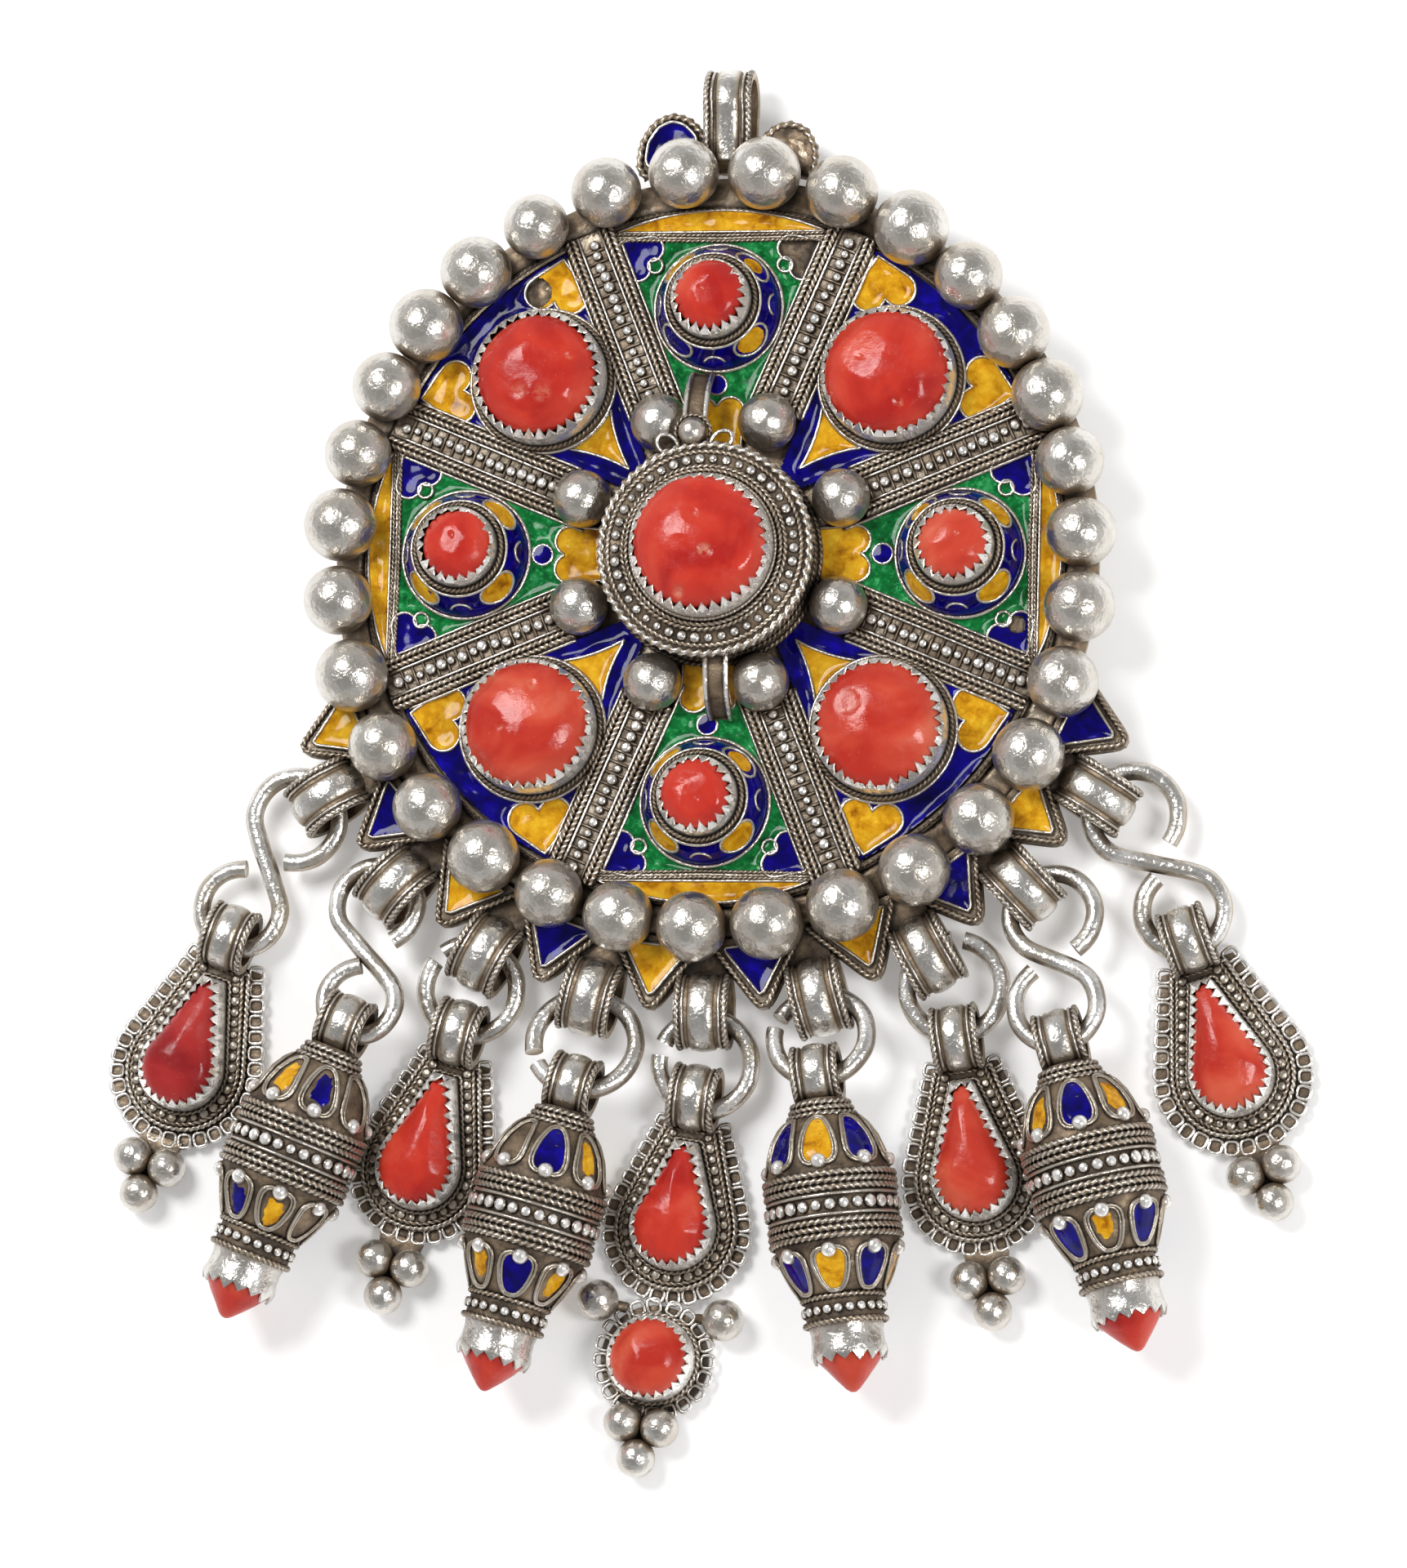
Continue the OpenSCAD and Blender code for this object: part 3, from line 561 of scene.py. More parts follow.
def pool(outline, holes=(), top=ENAMEL_TOP, sag=0.2, creep=0.4, seed=1, step=0.22):
    """Glassy enamel that fills a cell and climbs a little up the wires round it."""
    flat, faces, gap = cell(outline, holes, step)
    z = top - sag * (1 - np.exp(-(gap / creep) ** 2)) + wobble(flat, 2.2, 0.02, seed) * np.minimum(gap, 1)
    return np.column_stack([flat, z]), faces[:, ::-1]


# Plate

def arc_corner(r, inset):
    """Angle from the wedge's middle line, in degrees, at which its side meets a circle."""
    c = STRIP_W / 2 + inset
    return HALF_STEP - degrees(atan2(c, sqrt(r * r - c * c)))


def sector_outline(r0, r1, inset):
    """Wedge between two strips, with its ends on circles, opening along +Y."""
    out, back = arc_corner(r1, inset), arc_corner(r0, inset)
    outer = circle(r1, 0, 40, start=90 - out, stop=90 + out)
    inner = circle(r0, 0, 20, start=90 + back, stop=90 - back)
    return np.vstack([outer, inner])[:, :2]


def panel_outline(y0, y1, inset):
    """Wedge between two strips with straight ends, opening along +Y."""
    a, b = wedge_half(y0, inset), wedge_half(y1, inset)
    return np.array([(-b, y1), (-a, y0), (a, y0), (b, y1)])


def panel_hearts():
    return [heart((side * 7.15, 27.85), 1.2, 2.95, 90 - side * 58) for side in (-1, 1)]


def sector_hearts():
    return [heart((side * 6.4, 28.2), 1.55, 3.5, 90 - side * 55) for side in (-1, 1)]


def inner_heart():
    """Two lobes outwards, open towards the boss."""
    t = np.linspace(195, 15.6, 16)
    left = circle(1.35, 0, 16, at=(-1.3, 13.4), start=t[0], stop=t[-1])[:, :2]
    right = left[::-1] * (-1, 1)
    return np.vstack([[[-2.35, 9.6]], left, right[1:], [[2.35, 9.6]]])


def sector_triangle():
    """Back edge along the stone's collar and hollow sides that meet near the boss."""
    back = circle(6.9, 0, 9, at=(0, STONE_RING_R), start=247, stop=293)[:, :2]
    t = np.linspace(0, 1, 10)[1:, None]
    tip, pull = np.array([0, 11.2]), np.array([0.75, 14.2])
    right = (1 - t) ** 2 * back[-1] + 2 * t * (1 - t) * pull + t ** 2 * tip
    return np.vstack([back, right, (right * (-1, 1))[::-1][1:]])


def outer_segment():
    """Sliver between a panel's chord and the border balls."""
    reach = degrees(acos((30.35 - 7.8) / 24.6))
    return circle(24.6, 0, 24, at=(0, 7.8), start=90 - reach, stop=90 + reach)[:, :2]


def dot_outline(r):
    return circle(r, 0, 20, at=(0, 15.9))[:, :2]


def raised(outline, z):
    return np.column_stack([outline, np.full(len(outline), z)])


def point_angle(k):
    return POINT_START + k * POINT_STEP - 90


def point_outline(grow=0.0):
    """A point of the border, its tip along +Y. The foot is hidden under the balls."""
    tip = POINT_TIP_R + grow
    return np.array([(-4.4 - grow, 35.6), (-0.35, tip), (0.35, tip), (4.4 + grow, 35.6)])


POINT_CELL = np.array([(-3.1, 36.4), (3.1, 36.4), (0.12, 41.1), (-0.12, 41.1)])
LEFT_PETAL = np.array([
    (-7.2, 35.6), (-8.1, 36.6), (-7.8, 39), (-6.7, 40.8), (-5.1, 41.6), (-3.5, 41.2), (-2, 39.7), (-1.7, 37),
])
RIGHT_PETAL = np.array([
    (2.3, 37), (3.6, 39.2), (4.8, 40.4), (6.2, 40.7), (7.6, 40.1), (8.5, 38.5), (8.6, 36.8), (8, 35.6),
])


def rounded(corners, count=40, closed=False):
    """Smooth curve through corner points."""
    corners = np.asarray(corners, float)
    line = resample(corners, count, closed)
    for _ in range(3):
        before, after = np.roll(line, 1, 0), np.roll(line, -1, 0)
        smooth = (before + 2 * line + after) / 4
        if not closed:
            smooth[[0, -1]] = line[[0, -1]]
        line = smooth
    return line


def petal_cell(outline, shrink):
    line = rounded(outline, 50)
    middle = line.mean(0)
    return middle + (line - middle) * shrink


def plate_body(shape):
    """Round plate with a folded rim on its back and uneven solder between the border balls."""
    edge = PLATE_R - 0.7
    radii = np.concatenate([[0.5, 20, 31.6], np.linspace(32.6, edge - 0.15, 10), [edge]])
    heights = np.interp(radii, [0, 32.6, 33.4, 35, edge], [CELL_FLOOR, CELL_FLOOR, 4.7, 4.3, 3.7])
    top = list(zip(radii, heights))
    low = [(edge, PLATE_BACK + 0.1), (edge - 0.1, PLATE_BACK), (RIM_R + 0.05, PLATE_BACK)]
    rim = [(RIM_R, 0.15), (RIM_R - 0.2, 0), (RIM_R - RIM_T + 0.2, 0), (RIM_R - RIM_T, 0.15)]
    inner = [(RIM_R - RIM_T - 0.05, PLATE_BACK), (0.5, PLATE_BACK)]
    points, faces = lathe(top + low + rim + inner, 200)
    r = np.hypot(points[:, 0], points[:, 1])
    loose = (points[:, 2] > 3.75) & (r > 32.2) & (r < edge - 0.3)
    points[loose, 2] += (wobble(points, 2.4, 0.14, 3) + wobble(points, 1.1, 0.07, 4))[loose]
    dark = np.where(points[:, 2] > 3.6, 0.5 + wobble(points, 3, 0.1, 5), 0.3)
    shape.add(points, faces, dark, soft=False)


def edge_point(shape, k):
    """One point of the border: sheet, twisted wire edge and a cell for enamel."""
    turn = point_angle(k)
    points, faces = prism(point_outline(), PLATE_BACK, CELL_FLOOR - 0.2)
    shape.add(turned(points, turn), faces, 0.45, soft=False)
    edge = raised(point_outline(-0.12), CELL_FLOOR - 0.05)
    shape.add_rope(turned(rounded(edge, 60), turn), 0.3, 0.58, tarnish=0.15)
    lip = raised(point_outline(0.08), PLATE_BACK + 0.45)
    shape.add(*wire(turned(rounded(lip, 28), turn), 0.28, 6), 0.4)
    ring = raised(POINT_CELL, CELL_FLOOR + 0.12)
    shape.add(*wire(turned(resample(ring, 30, True), turn), 0.16, 6, closed=True), 0.22)


def petal(shape, outline, wired):
    """Petal beside the suspension bail, edged with twisted wire. The wired one has a cell for enamel."""
    outline = rounded(outline, 50)
    points, faces = prism(outline, PLATE_BACK, CELL_FLOOR - 0.2)
    shape.add(points, faces, 0.5, soft=False)
    shape.add_rope(raised(outline, CELL_FLOOR - 0.1), 0.42, 0.78, tarnish=0.12)
    if not wired:
        return
    middle = outline.mean(0)
    inner = middle + (outline - middle) * 0.78
    shape.add(*wire(raised(resample(inner, 50, True), CELL_FLOOR + 0.1), 0.17, 6, closed=True), 0.12)


def bare_cell(shape, outline, turn, z):
    """Brown metal at the bottom of a cell whose enamel is lost."""
    points, faces = pool(outline, (), z, 0.15, step=0.25)
    points[:, 2] += wobble(points, 0.9, 0.06, 8)
    shape.add(turned(points, turn), faces, 0.66 + wobble(points, 1.2, 0.12, 9), sheet=True)


def plate():
    shape = Shape()
    bare_cell(shape, petal_cell(RIGHT_PETAL, 0.92), 0, CELL_FLOOR)
    bare_cell(shape, panel_hearts()[1], 0, CELL_FLOOR + 0.3)
    bare_cell(shape, sector_hearts()[1], 45, CELL_FLOOR + 0.25)
    bare_cell(shape, panel_hearts()[1], 270, CELL_FLOOR + 0.25)
    plate_body(shape)
    for k in range(10):
        edge_point(shape, k)
    petal(shape, LEFT_PETAL, True)
    petal(shape, RIGHT_PETAL, False)
    rim_profile = [(32.1, 4.2), (32.8, 4.2), (32.75, 4.9), (32.6, 5.05), (32.3, 5.05), (32.1, 4.9)]
    rim = lathe(rim_profile, 200, ring=True)
    shape.add(*rim, 0.4, soft=False)
    shape.add_rope(circle(32.5, 5.08, 240), 0.22, 0.56, closed=True, tarnish=0.35)
    return shape


def strip(shape, k, rng):
    """Radial strip: two twisted wires and a plain wire on each side, granules in a row between them."""
    turn = HALF_STEP + 45 * k
    start, stop = 14.6, 32.6
    half = STRIP_W / 2
    flank = np.array([(half, 4.1), (half, 5.05), (half - 0.2, 5.2)])
    block = np.vstack([flank * (-1, 1), flank[::-1]])
    spine = np.array([(0, y, 0) for y in np.linspace(start, stop, 12)])
    points, faces = sweep(spine, block)
    shape.add(turned(points, turn), faces, 0.42, soft=False)
    y = np.linspace(start, stop, 60)
    for side in (-1, 1):
        for x, r, hand in ((2.12, 0.31, 1), (1.55, 0.31, -1)):
            line = np.stack([np.full(60, side * x), y, np.full(60, 5.38) + rng.normal(0, 0.02, 60)], -1)
            shape.add_rope(turned(line, turn), r, 0.56, hand=hand * side, tarnish=0.05)
        line = np.linspace((side * 1.1, start, 5.4), (side * 1.1, stop, 5.4), 8)
        shape.add(*wire(turned(line, turn), 0.14, 6), 0.12)
    count = int((stop - start) / 1.08)
    rows = start + 0.6 + 1.08 * np.arange(count)
    spots = np.stack([rng.normal(0, 0.1, count), rows + rng.normal(0, 0.07, count), np.full(count, 5.3)], -1)
    shape.add_granules(turned(spots, turn), 0.52, 0.55, sizes=rng.uniform(0.72, 1.12, count), tarnish=0.03)
    for y in rows[:-1] + 0.54:
        line = np.array([(-1.1, y, 5.32), (0, y, 5.36), (1.1, y, 5.32)])
        shape.add(*wire(turned(line, turn), 0.13, 6), 0.45)


def strips():
    shape = Shape()
    rng = np.random.default_rng(11)
    for k in range(8):
        strip(shape, k, rng)
    return shape


def chord(shape, turn):
    """Band and twisted wires between a panel and the outer segment."""
    half = wedge_half(CHORD_Y, -0.6)
    band = np.array([(-0.35, 4.2), (-0.35, 5.0), (-0.2, 5.1), (0.2, 5.1), (0.35, 5.0), (0.35, 4.2)])
    line = np.array([(-half, 29.85, 0), (0, 29.85, 0), (half, 29.85, 0)])
    points, faces = sweep(line, band)
    shape.add(turned(points, turn), faces, 0.3, soft=False)
    for y in (29.55, 30.1):
        path = np.array([(-half, y + 0.1, 5.12), (0, y - 0.1, 5.14), (half, y + 0.1, 5.12)])
        shape.add_rope(turned(path, turn), 0.21, 0.46, tarnish=0.12)


def cloisons():
    """Thin wires that part the enamel colours."""
    shape = Shape()
    bright = 0.14

    def thread(outline, turn, closed=True, r=0.155, z=WIRE_Z):
        count = max(8, int(length_of(outline, closed) / 0.4))
        path = raised(resample(outline, count, closed), z)
        shape.add(*wire(turned(path, turn), r, 6, closed=closed), bright)

    for q in range(4):
        turn = 90 * q
        chord(shape, turn)
        for loop in panel_hearts():
            thread(loop, turn)
        thread(inner_heart(), turn, closed=False)
        thread(dot_outline(0.95), turn)
        thread(outer_segment(), turn, r=0.14)
        for side in (-1, 1):
            thread(circle(0.72, 0, 16, at=(side * 6.1, 27.2))[:, :2], turn, r=0.16)
            edge = [(side * wedge_half(y, 0.15), y) for y in (12.2, CHORD_Y)]
            thread(edge, turn, closed=False, r=0.17)
        turn = 45 + 90 * q
        for loop in sector_hearts():
            thread(loop, turn)
        thread(sector_triangle(), turn)
        for side in (-1, 1):
            edge = [(side * wedge_half(y, 0.15), y) for y in (14.5, 30)]
            thread(edge, turn, closed=False, r=0.17)
    return shape


def stone_place(angle):
    """Place of one of the eight stones round the boss."""
    return STONE_RING_R * np.array([cos(radians(angle)), sin(radians(angle)), 0])


def large_collar(shape, angle, seed):
    """Toothed setting with a twisted wire at its foot."""
    at = stone_place(angle)
    foot = [(5.9, 4.2), (6.7, 4.2), (6.7, 5.3), (6.5, 5.6), (6.15, 5.7), (5.9, 5.6)]
    points, faces = lathe(foot, 72, ring=True)
    shape.add(points + at, faces, 0.45, soft=False)
    shape.add_rope(circle(6.42, 5.72, 96) + at, 0.29, 0.5, closed=True, tarnish=0.25)
    shape.add(*wire(circle(6.78, 5.2, 72) + at, 0.2, 6, closed=True), 0.06)
    points, faces = toothed(circle(6.1, 0, 96), 5.5, 8.3, 0.8, 0.85, 1.05, seed, flare=0.12)
    shape.add(points + at, faces, BRIGHT, soft=False)


def dome_z(r):
    """Height of a small dome's shoulder at a distance from its axis."""
    return np.interp(r, [3.4, 3.9, 4.3, 5.0, 5.55, 5.85], [8.95, 8.85, 8.45, 7.35, 6.3, 5.2])


OVAL_R = 5.0
OVAL_HALF = (1.85, 1.1)


def on_dome(outline):
    """Moves an outline from the plane, x along the rim and y outwards, onto a small dome's shoulder."""
    outline = np.asarray(outline, float)
    slope = 1.65
    r = OVAL_R + outline[:, 1] / slope
    a = outline[:, 0] / OVAL_R
    z = dome_z(r) + (outline[:, 2] if outline.shape[1] > 2 else 0)
    return np.stack([r * np.cos(a), r * np.sin(a), z], -1)


def small_dome(shape, angle, seed):
    """Raised setting whose shoulder carries enamel and wire ovals."""
    at = stone_place(angle)
    r = np.array([5.88, 5.88, 5.6, 5.3, 5.0, 4.6, 4.3, 4.0, 3.6])
    profile = [(5.88, 4.2)] + [(k, dome_z(k) - 0.16) for k in r[1:]] + [(3.5, 8.8), (3.4, 4.6)]
    points, faces = lathe(profile, 72, ring=True)
    shape.add(points + at, faces, 0.45, soft=False)
    shape.add(*wire(circle(5.98, 5.14, 72) + at, 0.2, 6, closed=True), 0.06)
    shape.add_rope(circle(4.02, 8.98, 72) + at, 0.26, 0.46, closed=True, tarnish=0.2)
    shape.add(*wire(circle(4.45, 8.5, 72) + at, 0.15, 6, closed=True), 0.06)
    points, faces = toothed(circle(3.6, 0, 72), 8.8, 10.45, 0.8, 0.75, 1.08, seed, flare=0.14)
    shape.add(points + at, faces, BRIGHT, soft=False)
    for k in range(4):
        edge = on_dome(np.column_stack([ellipse(*OVAL_HALF, 24), np.full(24, 0.06)]))
        path = turned(edge, 45 + 90 * k) + at
        shape.add(*wire(path, 0.16, 6, closed=True), 0.06)
        scallop = circle(0.95, 0.05, 12, at=(0, 1.0), start=200, stop=340)
        path = turned(on_dome(scallop), 90 * k) + at
        shape.add(*wire(path, 0.13, 6), 0.06)


def settings():
    shape = Shape()
    for k in range(4):
        large_collar(shape, 45 + 90 * k, 20 + k)
        small_dome(shape, 90 * k, 30 + k)
    return shape


def border_balls():
    """Ring of hollow balls, placed a little unevenly."""
    shape = Shape()
    rng = np.random.default_rng(5)
    for k in range(BALL_COUNT):
        angle = 2.1 + k * 360 / BALL_COUNT
        angle += 0.69 * sin(radians(3 * angle + 111)) + 0.45 * sin(radians(2 * angle + 168))
        reach = 35.0 + 0.48 * cos(radians(3 * angle + 114)) + 0.33 * cos(radians(2 * angle + 150))
        r = 3.28 + rng.normal(0, 0.09)
        a = radians(angle)
        at = (reach * cos(a), reach * sin(a), BALL_Z + rng.normal(0, 0.08))
        shape.add(*ball(at, r, BIG_BALL, rng, 0.014), BALL_TARNISH)
    return shape


def inner_balls():
    shape = Shape()
    rng = np.random.default_rng(6)
    for k in range(8):
        a = radians(HALF_STEP + 45 * k)
        at = (INNER_RING_R * cos(a), INNER_RING_R * sin(a), INNER_BALL_Z)
        shape.add(*ball(at, INNER_BALL_R, MIDDLE_BALL, rng, 0.014), BALL_TARNISH)
        shape.add(*wire(circle(1.9, 5.2, 40, at=at[:2]), 0.25, 6, closed=True), 0.3)
    return shape


# Bails: the section's first number is outwards from the loop, the second along the hole

def strap_section(half, rib, thick=0.5):
    """Section of a bail's strap, with a rounded rib along its middle."""
    x = np.array([-1, -0.85, -0.6, -0.5, -0.42, -0.28, -0.14, 0, 0.14, 0.28, 0.42, 0.5, 0.6, 0.85, 1]) * half
    lift = 0.1 + rib * np.sqrt(np.clip(1 - (x / (0.5 * half)) ** 2, 0, 1))
    outer = np.stack([lift, x], -1)
    return np.vstack([outer, [(-thick, half - 0.1), (-thick, -half + 0.1)]])


# Tone over a strap's section: patina, with painted shade in the dark creases beside the bright rib
HALF_STRAP_SHADE = [0.35, 0.4, 0.5, 0.6, 0.3, 0.14, 0.12]
STRAP_SHADE = np.array(HALF_STRAP_SHADE + [0.1] + HALF_STRAP_SHADE[::-1] + [0.5, 0.5])


def strap(shape, path, half, closed=False, rib=0.42):
    """Strap bent along a path of (y, z) pairs, with plain and beaded wires beside its rib."""
    path = np.column_stack([np.zeros(len(path)), np.asarray(path, float)])
    across = (1, 0, 0)
    points, faces = sweep(path, strap_section(half, rib), closed, across)
    # Painted shade in the creases beside the rib, which stays bright.
    shape.add(points, faces, np.resize(STRAP_SHADE, len(points)), soft=False)
    _, out, _ = directions(path, closed, across)
    for side in (-1, 1):
        for offset, r, beads in ((0.3, 0.3, True), (0.8, 0.15, False)):
            line = path + out * 0.14 + np.array([side * (half - offset), 0, 0])
            if beads:
                shape.add_rope(line, r, 0.6, closed=closed, up=across, hand=side, tarnish=-0.1)
            else:
                shape.add(*wire(line, r, 6, closed, across), 0.15)


def oval(y, z, a, b, start, stop, count):
    t = np.radians(np.linspace(start, stop, count, endpoint=stop - start != 360))
    return np.stack([y + a * np.cos(t), z + b * np.sin(t)], -1)


def lower_bails():
    shape = Shape()
    for i in range(9):
        part = Shape(lambda points, turn=BAIL_START + i * BAIL_STEP - 90: turned(points, turn))
        strap(part, oval(42.2, 3.3, 3.2, 2.42, 0, 360, 42), 2.5, closed=True)
        neck = np.array([(-2.2, 35.2), (2.2, 35.2), (1.9, 39.6), (-1.9, 39.6)])
        part.add(*prism(neck, 1.4, 3.7), 0.7, soft=False)
        merge(shape, part)
    return shape


def merge(shape, part):
    """Adds all of a part, drawn in its own place, to a shape."""
    for points in part.points:
        shape.points.append(shape.place(points))
    shape.tarnish += part.tarnish
    shape.soft += part.soft
    shape.faces += [[n + shape.count for n in f] for f in part.faces]
    shape.count += part.count


def top_bail():
    """Suspension bail, wider in its middle rib and open across the piece."""
    shape = Shape(lambda points: points + PLATE_AT + np.array([0.4, 0, 0]))
    loop = oval(43.0, 3.6, 2.6, 2.55, -118, 122, 44)
    strap(shape, np.vstack([[(36.5, 1.9)], loop, [(37.2, 5.1)]]), 2.25, rib=0.4)
    return shape


# Boss

BOSS_SHIFT = np.array([0.2, -0.4, 0])


def boss_wall(shape):
    """Twisted wires in tiers and slanting wires round the wall."""
    for r, z in ((10.0, 5.72), (9.55, 6.35), (9.42, 7.55), (9.45, 9.15)):
        shape.add_rope(circle(r, z, 200), 0.32, 0.58, closed=True, tarnish=0.3)
    count = 52
    for k in range(count):
        a0, a1 = 2 * pi * k / count, 2 * pi * (k + 0.5) / count
        for u, v in ((a0, a1), (2 * a1 - a0, a1)):
            path = np.array([
                (9.38 * cos(u), 9.38 * sin(u), 7.8),
                (9.4 * cos((u + v) / 2), 9.4 * sin((u + v) / 2), 8.35),
                (9.38 * cos(v), 9.38 * sin(v), 8.9),
            ])
            shape.add(*wire(path, 0.13, 6, up=(cos(u), sin(u), 0)), 0.3)


def boss_top(shape):
    """Rings of twisted wire and granules from the edge to the coral's toothed setting."""
    shape.add_rope(circle(9.68, 10.05, 200), 0.46, 0.95, closed=True, tarnish=-0.1)
    for r, z, hand in ((9.0, 10.3, -1), (7.55, 10.75, 1), (7.15, 10.98, -1)):
        shape.add_rope(circle(r, z, 200), 0.28, 0.56, closed=True, hand=hand, tarnish=0.1)
    spots = circle(8.3, 10.25, 42)
    sizes = np.random.default_rng(42).uniform(0.8, 1.1, len(spots))
    shape.add_granules(spots, 0.5, 0.5, ahead=unit(spots * (1, 1, 0)), sizes=sizes, tarnish=0.1)
    shape.add(*beaded(circle(6.72, 11.3, 120), 0.2, 0.4, closed=True), 0.2)
    points, faces = toothed(circle(6.5, 0, 144), 11.2, 13.1, 0.9, 0.75, 1.12, 40, flare=0.12)
    shape.add(points, faces, BRIGHT, soft=False)


def boss_strap(shape, x, side, reach):
    """Channel-shaped strap from the boss's edge down to the plate."""
    t = np.linspace(0, 1, 14)
    y = 8.6 + (reach - 8.6) * np.interp(t, [0, 0.35, 0.65, 0.88, 1], [0, 0.44, 0.75, 0.96, 1])
    z = np.interp(t, [0, 0.35, 0.65, 0.88, 1], [8.8, 8.7, 7.9, 6.1, 5.3])
    path = np.column_stack([y, z])
    for _ in range(2):
        path[1:-1] = (path[:-2] + 2 * path[1:-1] + path[2:]) / 4
    path = np.column_stack([np.zeros(14), path])
    rail = [(0.25, 1.15), (0.34, 0.95), (0.3, 0.78), (-0.05, 0.66)]
    section = rail + [(a, -b) for a, b in reversed(rail)] + [(-0.25, -1.15), (-0.25, 1.15)]
    # Painted shade on the channel's floor between the bright rails.
    dark = [0.2, 0.0, 0.1, 0.6]
    dark = dark + dark[::-1] + [0.5, 0.5]
    points, faces = sweep(path[::-1], section, up=(1, 0, 0))
    points[:, 0] += x
    points[:, 1] *= side
    shape.add(points, faces, np.resize(dark, len(points)), soft=False)


def boss():
    shape = Shape(lambda points: points + PLATE_AT + BOSS_SHIFT)
    profile = [
        (0.5, 5.3), (BOSS_R, 5.3), (BOSS_R, 5.6), (9.6, 6.1), (9.2, 6.6), (9.15, 9.4), (9.7, 9.85),
        (9.65, 10.1), (9.0, 10.3), (7.3, 10.6), (6.6, 11.1), (6.35, 11.2), (6.2, 11.9), (0.5, 11.9),
    ]
    shape.add(*lathe(profile, 144), 0.7, soft=False)
    boss_wall(shape)
    boss_top(shape)
    boss_strap(shape, -1.5, 1, 17.2)
    boss_strap(shape, 1.05, -1, 14.9)
    rng = np.random.default_rng(41)
    shape.add(*ball((-1.5, 11.0, 9.9), 1.3, MIDDLE_BALL, rng, 0.01), BALL_TARNISH)
    shape.add_rope(circle(1.6, 9.45, 40, at=(-1.5, 11.0)), 0.26, 0.5, closed=True, tarnish=0.1)
    for x, y, lean in ((-3.75, 9.75, 50), (1.25, 10.1, -50)):
        loop = circle(0.82, 0, 20) * (1, 1.35, 1)
        shape.add(*wire(turned(loop, lean) + (x, y, 10.0), 0.2, 6, closed=True), 0.1)
    return shape


# Links

LINK_SIDES = 20
# Painted shade on a link's wire: 0 on top and 1 on its flanks and underneath
LINK_SIDE_SHADE = np.clip(0.9 - 1.1 * np.sin(2 * pi * np.arange(LINK_SIDES) / LINK_SIDES), 0, 1)


def cut_wire(shape, path, seed):
    """Round wire with flat cut ends and slightly hammered sides."""
    rng = np.random.default_rng(seed)
    path = resample(path, max(24, int(length_of(path) / 0.3)))
    swell = 1 + 0.03 * np.sin(np.linspace(0, 9, len(path)) + rng.uniform(0, 6))
    points, faces = wire(path, LINK_R * swell * 0.985, LINK_SIDES)
    points = points + 0.02 * np.sin(points[:, [1, 2, 0]] * 1.9)
    # Painted shade on the wire's flanks and underside; its top stays bright.
    flank = np.resize(LINK_SIDE_SHADE, len(points))
    shape.add(points, faces, 0.1 + 0.36 * flank + wobble(points, 4, 0.08, seed), soft=False)


def link_height(i):
    return BARREL_LINK_Z if DROPS[i - 1][0] == "barrel" else TEAR_LINK_Z


def ring(row):
    """Open ring that passes through the plate's bail and the drop's bail."""
    i, at, r, gap_angle = row
    rise = link_height(i) - LINK_Z
    tip = -np.arcsin(rise / (2 * r))
    path = circle(r, 0, 80, start=gap_angle + 8, stop=gap_angle + 352)
    path[:, 2] = path[:, 1] * sin(tip)
    path[:, 1] *= cos(tip)
    lean = DROPS[i - 1][2]
    shape = Shape()
    cut_wire(shape, turned(path, lean) + np.array([*at, LINK_Z + rise / 2]), i)
    return shape


def hook(row):
    """S-shaped hook: arc of the upper loop, then arc of the lower loop the other way."""
    i, upper, upper_r, lower, lower_r, upper_end, lower_end = row
    across = np.subtract(lower, upper)
    span = hypot(*across)
    leave = degrees(atan2(across[1], across[0])) + 360 - degrees(acos((upper_r + lower_r) / span))
    meet = leave - 180
    start = upper_end - 360 if upper_end > leave else upper_end
    stop = lower_end - 360 if lower_end > meet else lower_end
    first = circle(upper_r, 0, 60, upper, start, leave)
    second = circle(lower_r, 0, 60, lower, meet, stop)
    path = np.vstack([first, second[1:]])
    t = ((path[:, :2] - upper) @ across / span + upper_r) / (span + upper_r + lower_r)
    path[:, 2] = LINK_Z + (link_height(i) - LINK_Z) * t
    for _ in range(6):
        path[1:-1] = (path[:-2] + 2 * path[1:-1] + path[2:]) / 4
    shape = Shape()
    cut_wire(shape, path, i)
    return shape


# Drops

def drop_bail(shape, z, stretch, at_y=-0.3):
    """Closed loop over the top of a drop."""
    loop = oval(at_y - stretch / 2, z, 2.2 + stretch / 2, 2.22, 0, 360, 44)
    strap(shape, loop, 2.2, closed=True, rib=0.36)


# Distance from a teardrop's bail to the middle of its round end
TEAR_LOW = {"tear": 13.7, "double": 12.8}
# Middle of the round unit under the middle teardrop
UNIT_AT = (0, -24.9)


def tear_path(low, r):
    """Outline of a teardrop at a distance r from the middle of its round end."""
    radii = [3.4, 3.8, 4.6, 5.5, 7.3]
    top = np.interp(r, radii, [5.5, 4.9, 4.1, 3.4, 2.8])
    half = np.interp(r, radii, [0.5, 0.9, 1.7, 2.5, 3.6])
    return tear_outline(r, low, top, half)


